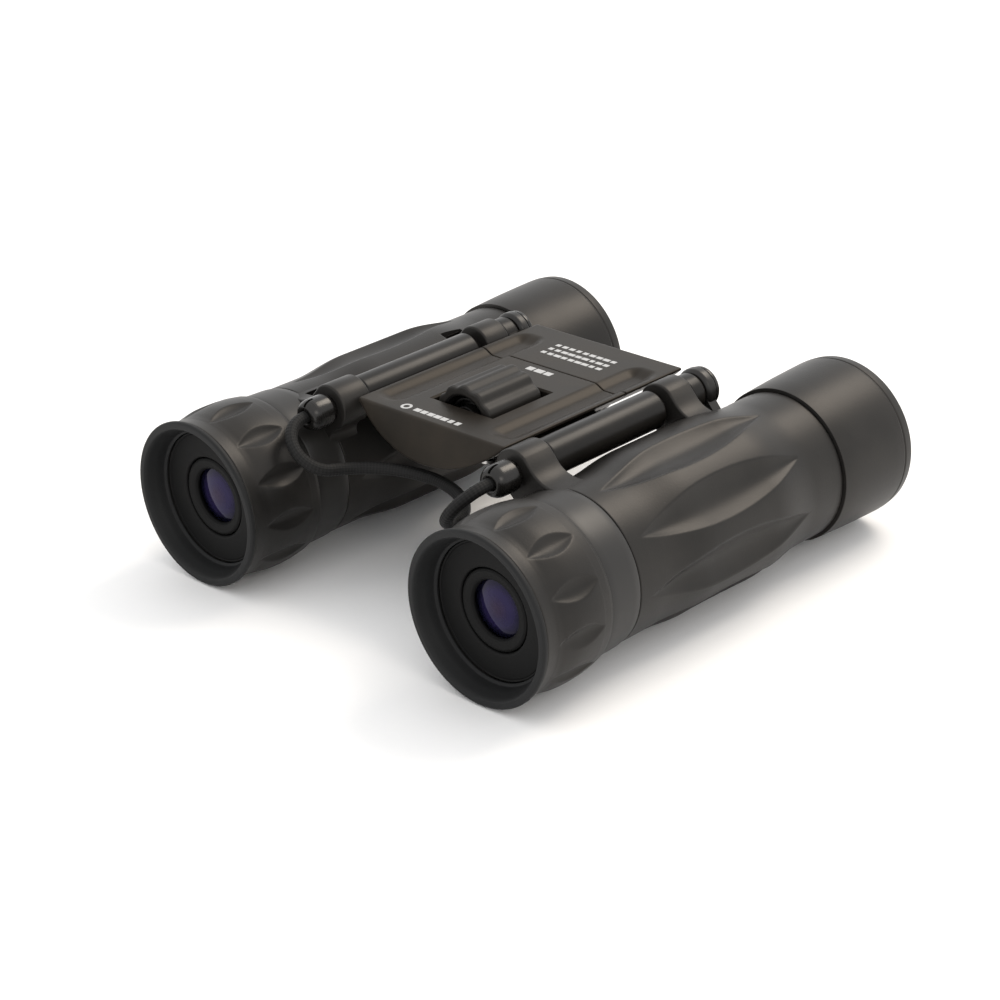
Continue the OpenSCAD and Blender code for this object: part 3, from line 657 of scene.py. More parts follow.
def braided_tube(line, radius, sides, lay):
    """A tube along line whose skin rises and falls with crossing strands, and its UVs."""
    count = len(line)
    heading = np.gradient(line, axis=0)
    heading /= np.linalg.norm(heading, axis=1)[:, None]
    side = np.cross(heading[0], (0, 0, 1.0))
    frames = []
    for h in heading:
        side = side - h * (side @ h)
        side /= np.linalg.norm(side)
        frames.append((side.copy(), np.cross(h, side)))
    gone = np.concatenate([[0], np.cumsum(np.linalg.norm(np.diff(line, axis=0), axis=1))])
    angle = np.arange(sides) * 2 * math.pi / sides
    u, v = gone / lay, angle / (2 * math.pi)
    weave = (np.sin(2 * math.pi * (u[:, None] + 8 * v)) *
             np.sin(2 * math.pi * (u[:, None] - 8 * v)))
    reach = radius * (0.98 + 0.02 * weave)
    points = np.empty((count, sides, 3))
    for k, (a, b) in enumerate(frames):
        points[k] = line[k] + reach[k][:, None] * (
            np.cos(angle)[:, None] * a + np.sin(angle)[:, None] * b)
    return points, u, v


def strap_cord(materials):
    line, length = even(spline(CORD_ROUTE, 12), 0.14)
    sides = 48
    points, u, v = braided_tube(line, CORD_D / 2, sides, 1.3)
    shell = run(points)
    mesh = bpy.data.meshes.new("strap_cord")
    mesh.from_pydata([tuple(p * MM) for p in shell[0]], [], shell[1])
    layer = mesh.uv_layers.new(name="cord")
    for face in mesh.polygons:
        seam = max(k % sides for k in face.vertices) == sides - 1
        for corner in face.loop_indices:
            row, column = divmod(mesh.loops[corner].vertex_index, sides)
            around = 1.0 if seam and column == 0 else column / sides
            layer.data[corner].uv = u[row], around
    cord = dress("strap_cord_braid", mesh, materials["braid"], "bridge", ["strap_cord"])
    [c * MM for c in CORD_ROUTE[0]]


# ---------- barrel ----------

def rise(y, start, end, low, high):
    return low + (high - low) * ease((y - start) / (end - start))


SWELL_NEAR = ARMOUR_Y + 7, ARMOUR_Y + 20
SWELL_FAR = ARMOUR_END_Y - 20.5, ARMOUR_END_Y - 7.5
FLUTES = 7
FLUTE_FIRST = math.radians(52)
FLUTE_STEP = (2 * math.pi - 2 * FLUTE_FIRST) / (FLUTES - 1)
FLUTE_MID, FLUTE_HALF = ARMOUR_Y + 25.25, 22.2


SLOT_ANGLE = math.radians(23.5)
SLOTS = (ARMOUR_Y + 0.8, 5.6), (FAR_KNUCKLE[0] + 0.8, 5.4)


def armour_radius(y):
    near = rise(y, *SWELL_NEAR, NEAR_WAIST_R, SWELL_R)
    far = rise(y, *SWELL_FAR, SWELL_R, FAR_WAIST_R)
    return np.where(y < (SWELL_NEAR[1] + SWELL_FAR[0]) / 2, near, far)


def armour(side, material):
    """Soft-touch cover with its long flutes, and slots where other pieces pass through it."""
    ends = np.array([0.0, 0.08, 0.2, 0.35, 0.5])
    ys = np.concatenate([ARMOUR_Y + ends, np.linspace(ARMOUR_Y + 0.8, ARMOUR_END_Y - 0.8, 190),
                         ARMOUR_END_Y - ends[::-1]])
    edge = 0.2
    gap = np.minimum(ys - ARMOUR_Y, ARMOUR_END_Y - ys)
    drop = np.where(gap < edge, edge - np.sqrt(np.maximum(edge ** 2 - (edge - gap) ** 2, 0)), 0)
    outer = np.stack([armour_radius(ys) - drop, ys], 1)
    inner_r = 12.9
    outline = np.vstack([outer, [[inner_r, ARMOUR_END_Y], [inner_r, ARMOUR_Y]]])

    def shape(angle, radius, y):
        cut = np.zeros_like(radius)
        for k in range(FLUTES):
            off = wrap(angle - HINGE_ANGLE + FLUTE_FIRST + k * FLUTE_STEP) * SWELL_R
            cut = cut + scoop(off, y - FLUTE_MID, 4.3, FLUTE_HALF, 1.9, 0.05)
        off = wrap(angle - HINGE_ANGLE) * FAR_WAIST_R
        middle = (ARM_LOW[1] + ARM_HIGH[1] + 2.5) / 2
        cut = cut + slot_depth(off, y - middle, 2.4, 2.75, 1.6)
        if side < 0:
            off = wrap(angle - HINGE_ANGLE + SLOT_ANGLE) * NEAR_WAIST_R
            for start, long in SLOTS:
                spot = y - start - long / 2
                cut = cut + slot_depth(off, spot, 1.5, long / 2, 1.7)
                cut = cut - slot_depth(off - 0.7, spot, 0.55, long / 2 - 0.5, 1.0)
        return np.where(radius > inner_r + 0.1, np.maximum(radius - cut, inner_r + 0.2), radius)

    shell = turn(outline, AXIS, 400, shape)
    return make_piece(name_of(side, "armour_skin"), [shell], material, body_of(side),
                      [name_of(side, "armour")], 60, side < 0)


def name_of(side, words):
    return ("left_" if side < 0 else "right_") + words


def body_of(side, words="barrel"):
    return name_of(side, words)


def knuckle(start, end):
    """One knuckle eye and the arm that flows from it into the barrel. Its section is drawn from
    the hinge: u points outboard and up, w points from the hinge to the optical axis."""
    outboard = [(4.42, 0.9), (4.44, 1.8), (4.5, 2.6), (4.75, 3.6), (5.2, 4.6), (5.9, 5.6),
                (6.8, 6.5), (7.9, 7.35), (9.0, 8.2), (9.7, 8.9)]
    inboard = [(4.3, 1.32), (3.95, 2.15), (3.72, 2.9), (3.62, 3.8), (3.68, 4.5), (3.9, 5.05),
               (4.4, 5.6), (5.1, 6.1)]
    arc = np.radians(np.linspace(-11.5, -162.7, 40))
    eye = [(KNUCKLE_R * math.cos(a), KNUCKLE_R * math.sin(a)) for a in arc]
    root = [(u, REACH - math.sqrt(13.2 ** 2 - u * u)) for u in np.linspace(-4.9, 8.8, 9)]
    section = np.array(outboard[::-1] + eye + [(-u, w) for u, w in inboard] + root)
    after, before = np.roll(section, -1, 0), np.roll(section, 1, 0)
    normal = (after - before)[:, ::-1] * (1, -1)
    normal /= np.linalg.norm(normal, axis=1)[:, None]
    middle = np.array([0.0, 2.0])
    if np.sum(normal * (section - middle)) < 0:
        normal = -normal
    edge = 0.4
    arc = np.linspace(0, math.pi / 2, 5)
    inset = edge * (1 - np.cos(arc))
    gone = edge * (1 - np.sin(arc))
    out = np.array([math.cos(TILT), math.sin(TILT)])
    down = np.array([math.sin(TILT), -math.cos(TILT)])
    rows = []
    for y, shrink in [*zip(start + gone[::-1], inset[::-1]), *zip(end - gone, inset)]:
        shrunk = section - normal * shrink
        spot = np.array(HINGE) + shrunk[:, :1] * out + shrunk[:, 1:] * down
        rows.append(np.stack([spot[:, 0], np.full(len(spot), y), spot[:, 1]], 1))
    return run(rows)


def barrel_tube(side, material):
    near = knuckle(*NEAR_KNUCKLE)
    far = knuckle(*FAR_KNUCKLE)
    wall = turn([(12.5, ARMOUR_Y), (13.05, ARMOUR_Y), (13.05, HOOD_Y + 3), (12.5, HOOD_Y + 3)], AXIS)
    made = make_piece(name_of(side, "knuckles"), [near, far, wall], material, body_of(side),
                      [name_of(side, "barrel_tube")], 38, side < 0)
    if side < 0:
        carve(made, [slot_cutter(start, start + long) for start, long in SLOTS], True)


def slot_cutter(start, end):
    """The room of a moulded slot, outside the barrel's wall and out through a knuckle's foot."""
    out = np.array([math.cos(HINGE_ANGLE - SLOT_ANGLE), math.sin(HINGE_ANGLE - SLOT_ANGLE)])
    across = np.array([out[1], -out[0]])
    corners = [np.array(AXIS) + out * r + across * w
               for r, w in ((13.3, -1.4), (13.3, 1.4), (18, 1.4), (18, -1.4))]
    return run([[(x, y, z) for x, z in corners] for y in (start + 0.1, end - 0.1)])


def objective_hood(side, material):
    lip = RIM_Y - 2.6
    outline = soften([
        (13.1, HOOD_Y - 0.1), (HOOD_R - 0.7, HOOD_Y - 0.1, 0.12), (HOOD_R - 0.3, HOOD_Y + 7, 3),
        (HOOD_R - 0.12, RIM_Y - 8, 3), (HOOD_R, lip - 0.3, 0.15), (HOOD_R - 0.18, lip, 0.1),
        (HOOD_R - 0.02, lip + 0.3, 0.15), (HOOD_R - 0.25, RIM_Y - 0.4, 0.3), (HOOD_R - 0.7, RIM_Y, 0.4),
        (MOUTH_R + 0.2, RIM_Y, 0.1), (MOUTH_R, RIM_Y - 0.2, 0.1), (MOUTH_R, RIM_Y - 8),
        (HOOD_BORE_R, RIM_Y - 8), (HOOD_BORE_R, HOOD_Y + 3),
        (13.1, HOOD_Y + 3)])
    return make_piece(name_of(side, "hood"), [turn(outline, AXIS, 192)], material, body_of(side),
                      [name_of(side, "objective_hood")], 50, side < 0)


def eyepiece_band(side, material):
    outline = soften([
        (8.2, RING_Y + 1.1), (12.6, RING_Y + 1.1), (12.6, BAND_Y), (BAND_R - 0.1, BAND_Y, 0.25),
        (BAND_R, BAND_Y + 1.2, 0.6), (BAND_R - 0.15, ARMOUR_Y - 1.5, 0.6),
        (BAND_R - 0.4, ARMOUR_Y - 0.1, 0.3), (12.4, ARMOUR_Y - 0.1), (12.4, ARMOUR_Y + 4),
        (11.3, ARMOUR_Y + 4), (11.3, RING_Y + 3.1), (8.2, RING_Y + 3.1)])
    return make_piece(name_of(side, "band"), [turn(outline, AXIS, 192)], material, body_of(side),
                      [name_of(side, "eyepiece_tube")], 45, side < 0)


SCOOPS = 12
CUP_SEAM_Y = NEAR_Y + 1.15
SCOOP_MID, SCOOP_HALF = RING_Y + 5.25, 5.4


def eyepiece_ring(side, material):
    """The ring with leaf-shaped scoops. It stands the same way round on both sides."""
    curve = spline([(RING_R - 0.75, CUP_SEAM_Y + 0.05, 0), (RING_R - 0.6, CUP_SEAM_Y + 0.25, 0),
                    (RING_R - 0.78, RING_Y - 1.8, 0), (RING_R - 0.88, RING_Y - 0.6, 0),
                    (RING_R - 0.8, RING_Y + 0.6, 0), (RING_R - 0.5, RING_Y + 2.0, 0),
                    (RING_R - 0.12, RING_Y + 4.2, 0), (RING_R, RING_Y + 6.4, 0),
                    (RING_R - 0.06, RING_Y + 8.6, 0),
                    (RING_R - 0.25, RING_Y + 10.8, 0), (RING_R - 0.52, RING_Y + 12.6, 0)], 1)
    dense, _ = even(spline(curve, 8), 0.22)
    tail = soften([(RING_R - 0.62, BAND_Y - 0.3, 0.3), (12.8, BAND_Y - 0.3), (12.8, RING_Y + 1.4),
                   (13.4, RING_Y + 1.4), (13.4, RING_Y + 0.02), (14.7, RING_Y + 0.02),
                   (14.7, CUP_SEAM_Y + 0.05)])
    outline = np.vstack([dense[:, :2], tail])

    def shape(angle, radius, y):
        cut = np.zeros_like(radius)
        for k in range(SCOOPS):
            middle = math.radians(-5) + k * 2 * math.pi / SCOOPS
            off = wrap(angle - middle) * RING_R
            cut = cut + scoop(off, y - SCOOP_MID, 2.05, SCOOP_HALF, 0.85, 0.09)
        return np.where(radius > 14.9, radius - cut, radius)

    shell = turn(outline, (AXIS[0] * side, AXIS[1]), 480, shape)
    body = "dioptre_ring" if side > 0 else "left_barrel"
    return make_piece(name_of(side, "scooped_ring"), [shell], material, body,
                      [name_of(side, "eyepiece_ring")], 60)


def eyecup(side, material):
    """Thin flat-faced rim, with a straight bore behind it."""
    outline = soften([
        (CUP_BORE_R + 0.75, NEAR_Y + 0.5, 0.3), (CUP_BORE_R + 1.1, NEAR_Y, 0.2),
        (LIP_R - 0.3, NEAR_Y, 0.25),
        (LIP_R, NEAR_Y + 0.3, 0.25), (LIP_R - 0.05, CUP_SEAM_Y - 0.25, 0.15),
        (LIP_R - 0.3, CUP_SEAM_Y, 0.12), (14.6, CUP_SEAM_Y), (14.6, RING_Y - 0.05),
        (13.2, RING_Y - 0.05), (13.2, RING_Y - 0.35, 0.1), (CUP_BORE_R - 0.3, RING_Y - 0.5, 0.3),
        (CUP_BORE_R - 0.02, NEAR_Y + 2.6, 0.8)], 6)
    body = "dioptre_ring" if side > 0 else "left_barrel"
    return make_piece(name_of(side, "cup"), [turn(outline, AXIS, 192)], material, body,
                      [name_of(side, "eyecup")], 40, side < 0)


def bezel(side, material):
    """Flat black disc inside the cup, with one raised ring."""
    front = RING_Y + 0.1
    outline = soften([
        (7.95, front + 0.25, 0.2), (8.3, front + 0.02, 0.2), (12.6, front + 0.02, 0.1),
        (12.75, front + 0.12, 0.05), (12.9, front + 0.02, 0.1), (13.1, front + 0.02, 0.1),
        (13.1, front + 1), (7.95, front + 1)])
    return make_piece(name_of(side, "bezel_disc"), [turn(outline, AXIS, 160)], material,
                      body_of(side), [name_of(side, "bezel")], 35, side < 0)


def ocular(side, materials):
    body = "dioptre_ocular" if side > 0 else "left_barrel"
    front = RING_Y + 0.2
    outline = soften([
        (5.45, front + 0.8, 0.1), (5.75, front + 0.35, 0.2), (6.4, front + 0.12, 0.2),
        (7.2, front, 0.2), (7.7, front + 0.3, 0.2), (7.7, front + 10.8), (6.2, front + 10.8),
        (6.2, front + 1.1), (5.45, front + 1.1)])
    make_piece(name_of(side, "ocular_ring"), [turn(outline, AXIS, 128)], materials["black"], body,
               [name_of(side, "ocular_cell")], 35, side < 0)
    face = front + 0.95
    dome = [(6.0 * t, face - 0.1 + 0.85 * t * t) for t in np.linspace(0, 1, 14)]
    outline = dome + [(6.0, face + 2.9), (0, face + 3.6)]
    make_piece(name_of(side, "eye_glass"), [turn(outline, AXIS, 96)], materials["eye_glass"], body,
               [name_of(side, "eye_lens")], 30, side < 0)


# ---------- hinges ----------

def strap_lug(side, material):
    start, end = LUG_LOW[1], NEAR_KNUCKLE[0]
    outline = soften([(1.27, start + 0.9), (1.27, start + 0.25, 0.1), (1.7, start, 0.3),
                      (2.5, start + 0.25, 0.7), (3.05, start + 1.3, 0.9), (3.1, start + 2.6, 0.5),
                      (3.1, end - 1.1, 0.3), (2.7, end - 0.6, 0.25), (2.5, end - 0.1, 0.1),
                      (2.5, end + 0.3), (1.27, end + 0.3)], 6)
    shells = [turn(outline, HINGE, 96)]
    slit = block((HINGE[0] - 0.28, start + 0.1, HINGE[1] + 1.5),
                 (HINGE[0] + 0.28, start + 2.3, HINGE[1] + 4), 0.1)
    made = make_piece(name_of(side, "lug"), shells, material, body_of(side),
                      [name_of(side, "strap_lug")], 40, side < 0)
    carve(made, [slit], side < 0)


def carve(piece, cutters, mirror=False, sharp=40):
    """Cuts closed shells out of a piece, and bakes the result into its mesh."""
    mesh = shell_mesh("cutter", cutters, mirror)
    work = bmesh.new()
    work.from_mesh(mesh)
    bmesh.ops.recalc_face_normals(work, faces=work.faces)
    work.to_mesh(mesh)
    work.free()
    tool = bpy.data.objects.new("cutter", mesh)
    bpy.context.scene.collection.objects.link(tool)
    step = piece.modifiers.new("cut", "BOOLEAN")
    step.operation, step.object, step.solver = "DIFFERENCE", tool, "EXACT"
    graph = bpy.context.evaluated_depsgraph_get()
    result = bpy.data.meshes.new_from_object(piece.evaluated_get(graph))
    piece.modifiers.clear()
    material = piece.data.materials[0]
    piece.data = result
    result.materials.clear()
    result.materials.append(material)
    result.shade_smooth()
    result.set_sharp_from_angle(angle=math.radians(sharp))
    bpy.data.objects.remove(tool)


def hinge_rod(side, material):
    outline = soften([(0, ROD_LOW[1]), (1.8, ROD_LOW[1], 0.1), (2.0, ROD_LOW[1] + 0.2, 0.1),
                      (2.0, ROD_HIGH[1]), (0, ROD_HIGH[1])])
    make_piece(name_of(side, "rod"), [turn(outline, HINGE, 64)], material, "focus_slider",
               [name_of(side, "hinge_rod")], 40, side < 0)


def focus_arm(side, material):
    """The ring that grips the rod, and the blade that goes down into the barrel."""
    low, high = ARM_LOW[1], ARM_HIGH[1]
    ring = turn(soften([(2.06, low), (3.6, low, 0.2), (4.2, low + 0.55, 0.5),
                        (4.2, high - 0.2, 0.3), (3.9, high, 0.2), (2.06, high)]), HINGE, 96)
    out = np.array([math.cos(TILT), math.sin(TILT)])
    down = np.array([math.sin(TILT), -math.cos(TILT)])
    rows = []
    for y in (low + 0.1, high - 0.05):
        outline = soften([(-2, 2.4), (2, 2.4), (2, REACH - 11.5), (-2, REACH - 11.5)])
        spots = [np.array(HINGE) + u * out + w * down for u, w in outline]
        rows.append([(x, y, z) for x, z in spots])
    make_piece(name_of(side, "arm"), [ring, run(rows)], material, body_of(side, "objective"),
               [name_of(side, "focus_arm")], 35, side < 0)


def end_cap(side, material):
    low, high = CAP_LOW[1], CAP_HIGH[1]
    outline = soften([(0, low), (4.0, low, 0.1), (4.0, high - 0.4, 0.4), (3.4, high, 0.4),
                      (2.6, high - 0.05, 0.2), (2.4, high - 0.25, 0.1), (0, high - 0.25)])
    made = make_piece(name_of(side, "cap"), [turn(outline, HINGE, 96)], material, "focus_slider",
                      [name_of(side, "end_cap")], 35, side < 0)
    slit = block((HINGE[0] - 2.1, high - 0.7, HINGE[1] - 0.35),
                 (HINGE[0] + 2.1, high + 1, HINGE[1] + 0.35), 0.08)
    carve(made, [slit], side < 0)


# ---------- bridge ----------

BELLY_DROP = TOP_Z - 0.5 - BELLY_Z
BELLY_ARC = (BRIDGE_HALF ** 2 + BELLY_DROP ** 2) / (2 * BELLY_DROP)
APRON_SLOPE = 2.7 / 7.8
TROUGH_X, TROUGH_FLOOR, TROUGH_HALF, TROUGH_DEPTH = 14.7, 1.0, 3.7, 1.05
TROUGH = BRIDGE_Y + 2.5, SEAM_Y + 11.6


def belly(x):
    """Height of the bridge's rounded underside."""
    return BELLY_Z + BELLY_ARC - np.sqrt(BELLY_ARC ** 2 - x * x)


def trough(x, y):
    """How far the bridge's top dips at a place, in the two long round-ended troughs."""
    across = np.maximum(np.abs(np.abs(x) - TROUGH_X) - TROUGH_FLOOR, 0)
    beyond = np.maximum(np.maximum(TROUGH[0] + TROUGH_HALF - y, y - TROUGH[1] + TROUGH_HALF), 0)
    away = np.hypot(across, beyond * (TROUGH_HALF - TROUGH_FLOOR) / TROUGH_HALF)
    return TROUGH_DEPTH * (1 - smooth(away / (TROUGH_HALF - TROUGH_FLOOR)))


def plate_section(y, floor, inset=0.0):
    """Outline of a bridge plate across X: a top with two troughs and a rounded underside."""
    half, edge = BRIDGE_HALF - inset, 0.22
    turn_in = np.linspace(0, math.pi / 2, 4)
    xs = np.concatenate([-half + edge * (1 - np.cos(turn_in)), np.linspace(-half + 0.6, half - 0.6, 150),
                         half - edge * (1 - np.cos(turn_in[::-1]))])
    drop = np.concatenate([edge * (1 - np.sin(turn_in)), np.zeros(150),
                           edge * (1 - np.sin(turn_in[::-1]))])
    top = np.stack([xs, TOP_Z - inset - drop - trough(xs, y)], 1)
    under_x = xs[::-1]
    under = np.stack([under_x, np.maximum(belly(np.abs(under_x) * BRIDGE_HALF / half) + inset,
                                          floor)], 1)
    return np.vstack([top, under])


def place_section(section, y, shear=0.0):
    lean = shear * APRON_SLOPE * (TOP_Z - section[:, 1])
    return np.stack([section[:, 0], y - lean, section[:, 1]], 1)


def top_cover(material):
    """Near plate: a sloping apron in front, then the top with its troughs and wheel window."""
    split = TOP_Z - 5.0
    rows = []
    edge = 0.5
    for a in np.linspace(0, math.pi / 2, 9):
        inset = edge * (1 - math.sin(a))
        rows.append(place_section(plate_section(BRIDGE_Y, 0, inset),
                                  BRIDGE_Y + edge * (1 - math.cos(a)), 1))
    rows.append(place_section(plate_section(BRIDGE_Y, 0), BRIDGE_Y + 1.5, 1))
    rows.append(place_section(plate_section(BRIDGE_Y, split), BRIDGE_Y + 1.6, 1))
    last = SEAM_Y - 0.12
    for y in np.linspace(BRIDGE_Y + 2.6, last - 0.2, 110):
        rows.append(place_section(plate_section(y, split), y))
    for a in np.linspace(0, math.pi / 2, 4):
        inset = 0.15 * (1 - math.cos(a))
        rows.append(place_section(plate_section(last, split, inset), last - 0.15 * (1 - math.sin(a))))
    made = make_piece("cover_shell", [run(rows, True)], material, "bridge", ["top_cover"])
    window = block((WHEEL_LOW[0] - 0.45, WHEEL_LOW[1] - 0.35, BELLY_Z - 2),
                   (WHEEL_HIGH[0] + 0.45, WHEEL_HIGH[1] + 1.3, TOP_Z + 3), 0.4)
    flare = chamfer_cut((WHEEL_LOW[0] - 0.45, WHEEL_LOW[1] - 0.35),
                        (WHEEL_HIGH[0] + 0.45, WHEEL_HIGH[1] + 1.3), TOP_Z, 0.35)
    carve(made, [window], sharp=34)
    carve(made, [flare], sharp=34)


def chamfer_cut(low, high, z, size):
    """A shallow funnel that breaks the edge of a window at height z."""
    rows = []
    for height, grow in ((-0.6, -0.2), (0.0, size), (0.8, size + 0.8)):
        rows.append([(low[0] - grow, low[1] - grow, z + height),
        (high[0] + grow, low[1] - grow, z + height),
                     (high[0] + grow, high[1] + grow, z + height),
                     (low[0] - grow, high[1] + grow, z + height)])
    return run(rows)


def belly_cover(material):
    """Rounded underside below the near plate, with the lower wheel window."""
    split = TOP_Z - 5.0
    half = BRIDGE_HALF
    rows = []
    for y, inset in ((BRIDGE_Y + 0.7, 0.2), (BRIDGE_Y + 0.9, 0.0), (SEAM_Y - 0.5, 0.0), (SEAM_Y - 0.3, 0.2)):
        xs = np.linspace(-14.6 + inset, 14.6 - inset, 70)
        under = np.stack([xs, belly(xs) + inset], 1)
        under = under[under[:, 1] < split - 0.1]
        xs = np.linspace(under[0, 0], under[-1, 0], 60)
        under = np.stack([xs, belly(xs) + inset], 1)
        section = np.vstack([under, [[under[-1, 0], split - 0.06], [under[0, 0], split - 0.06]]])
        shear = 0.75 if y < 0 else 0
        rows.append(place_section(section, y + (APRON_SLOPE * 6.0 if shear else 0), shear))
    made = make_piece("belly_shell", [run(rows)], material, "bridge",
                      ["belly_cover"])
    window = block((WHEEL_LOW[0] - 0.6, WHEEL_LOW[1] - 0.5, BELLY_Z - 3),
                   (WHEEL_HIGH[0] + 0.6, WHEEL_HIGH[1] + 1.3, TOP_Z + 3), 0.4)
    wells = [turn_upright(x, y, 1.95, BELLY_Z - 3, BELLY_Z + 2.4) for x, y in SCREWS]
    carve(made, [window], sharp=34)
    carve(made, wells, sharp=34)


SCREWS = [(x, y) for x in (-11.2, 11.2) for y in (BRIDGE_Y + 4, SEAM_Y - 11)]


def turn_upright(x, y, radius, low, high, sides=40):
    """A closed cylinder that stands along Z."""
    angle = np.arange(sides) * 2 * math.pi / sides
    rows = [np.stack([x + radius * np.cos(angle), y + radius * np.sin(angle),
                      np.full(sides, z)], 1) for z in (low, high)]
    return run(rows)


def bridge_frame(frame_material, enamel):
    """Inner frame with its wheel bearings, and the hinge sleeves with their webs."""
    core_z = TOP_Z - 5.0
    shells = [block((-13.5, BRIDGE_Y + 3, core_z - 0.02), (-8.4, SEAM_Y - 1, TOP_Z - 1.8)),
              block((8.4, BRIDGE_Y + 3, core_z - 0.02), (13.5, SEAM_Y - 1, TOP_Z - 1.8)),
              block((-5, WHEEL_LOW[1] - 2.8, BELLY_Z + 1.6), (5, WHEEL_LOW[1] - 0.6, TOP_Z - 1.8)),
              block((-5, WHEEL_HIGH[1] + 1.5, BELLY_Z + 1.6), (5, WHEEL_HIGH[1] + 3, TOP_Z - 1.8))]
    make_piece("inner_frame", shells, frame_material, "bridge", ["bridge_frame"])
    for side in (-1, 1):
        low, high = SLEEVE
        tube = turn(soften([(2.1, low, 0.1), (SLEEVE_R - 0.35, low, 0.25),
                            (SLEEVE_R, low + 0.4, 0.25), (SLEEVE_R, high - 0.4, 0.25),
                            (SLEEVE_R - 0.35, high, 0.25), (2.1, high, 0.1)]), HINGE, 128)
        web = block((BRIDGE_HALF - 2.2, low + 0.4, TOP_Z - 3.4),
        (HINGE[0] - 1.5, high - 8.5, TOP_Z - 1.7), 0.3)
        made = make_piece(name_of(side, "sleeve"), [tube, web], enamel, "bridge",
                          (), 40, side < 0)


def slide_plate(material, enamel):
    """Sliding rear plate with its tongues, and the collars that grip the rods."""
    low, high = SEAM_Y + 0.12, PLATE_HIGH[1]
    rows = []
    edge = 0.4
    for a in np.linspace(0, math.pi / 2, 4):
        inset = 0.15 * (1 - math.sin(a))
        rows.append(place_section(plate_section(low, 0, inset), low + 0.15 * (1 - math.cos(a))))
    for y in np.linspace(low + 0.4, high - edge - 0.05, 60):
        rows.append(place_section(plate_section(y, 0), y))
    for a in np.linspace(0, math.pi / 2, 5):
        inset = edge * 0.6 * (1 - math.cos(a))
        rows.append(place_section(plate_section(high, 0, inset), high - edge * (1 - math.sin(a))))
    tongues = [block((x, SEAM_Y - 6.8, TOP_Z - 3.9), (x + 9, SEAM_Y + 2, TOP_Z - 2.1)) for x in (-12, 3)]
    make_piece("rear_plate", [run(rows, True)] + tongues, material, "focus_slider",
               ["slide_plate"], 34)
    for side in (-1, 1):
        ring = turn(soften([(2.0, COLLAR[0]), (3.55, COLLAR[0], 0.2), (3.75, COLLAR[0] + 0.3, 0.2),
                            (3.75, COLLAR[1] - 0.5, 0.3), (3.45, COLLAR[1], 0.3),
                            (2.0, COLLAR[1])]), HINGE, 96)
        ear = block((BRIDGE_HALF - 2.5, COLLAR[0] + 0.1, TOP_Z - 3.2),
                    (HINGE[0] - 1.6, COLLAR[1] - 0.1, TOP_Z - 0.75), 0.35)
        make_piece(name_of(side, "collar"), [ring, ear], enamel, "focus_slider",
                   (), 40, side < 0)


def focus_wheel(materials):
    """Fluted tyre on a hollow-faced wheel."""
    low, high = WHEEL_LOW[1], WHEEL_HIGH[1]
    radius = WHEEL_HIGH[0]
    flutes = 12
    ys = np.linspace(low + 0.5, high - 0.5, 60)
    outer = np.stack([np.full(60, radius), ys], 1)
    tail = soften([(radius - 0.12, high - 0.18, 0.1), (radius - 0.5, high, 0.3), (5.8, high), (5.8, low),
                   (radius - 0.5, low, 0.3), (radius - 0.12, low + 0.18, 0.1)], 4)
    outline = np.vstack([outer, tail])

    def shape(angle, r, y):
        wave = 0.5 + 0.5 * np.cos(flutes * (angle - math.radians(15)))
        cut = 0.5 * wave ** 1.3
        return r - cut * np.clip((r - 5.9) / (radius - 5.9), 0, 1)

    make_piece("wheel_tyre", [turn(outline, WHEEL, 288, shape)], materials["wheel"],
               "focus_wheel", ["wheel_grip"], 50)
    hub = soften([
        (1.66, low - 2.2), (2.5, low - 2.2, 0.1), (2.5, low + 0.6), (3.0, low + 0.6, 0.1),
        (3.0, low + 2.6, 0.2), (4.1, low + 2.6, 0.2), (4.1, low + 1.3, 0.1), (4.5, low + 1.3, 0.1),
        (4.5, low + 2.6, 0.2), (5.2, low + 2.2, 0.2), (5.3, low + 0.2, 0.1), (5.8, low + 0.05, 0.1),
        (5.8, high - 0.05, 0.1), (5.3, high - 0.2, 0.1), (5.2, high - 2.4, 0.2),
        (2.5, high - 2.4), (2.5, high + 2.2, 0.1), (1.66, high + 2.2)], 4)
    make_piece("wheel_core", [turn(hub, WHEEL, 128)], materials["black_gloss"], "focus_wheel",
               ["focus_wheel"], 35)


# ---------- repeated pieces, made with Geometry Nodes ----------

def node_group(name, inputs):
    """A new Geometry Nodes group with number or integer inputs, and its ends."""
    group = bpy.data.node_groups.new(name, "GeometryNodeTree")
    ids = {}
    for label, kind in inputs.items():
        ids[label] = group.interface.new_socket(label, in_out="INPUT", socket_type=kind).identifier
    group.interface.new_socket("Geometry", in_out="OUTPUT", socket_type="NodeSocketGeometry")
    return group, ids, group.nodes.new("NodeGroupInput"), group.nodes.new("NodeGroupOutput")


def grow(group, kind, settings=None, links=None):
    """Adds a geometry node, its settings, then its values and links by socket name or number."""
    made = group.nodes.new(kind)
    for label, value in (settings or {}).items():
        setattr(made, label, value)
    for label, value in (links or {}).items():
        if isinstance(value, bpy.types.NodeSocket):
            group.links.new(value, made.inputs[label])
        else:
            made.inputs[label].default_value = value
    return made


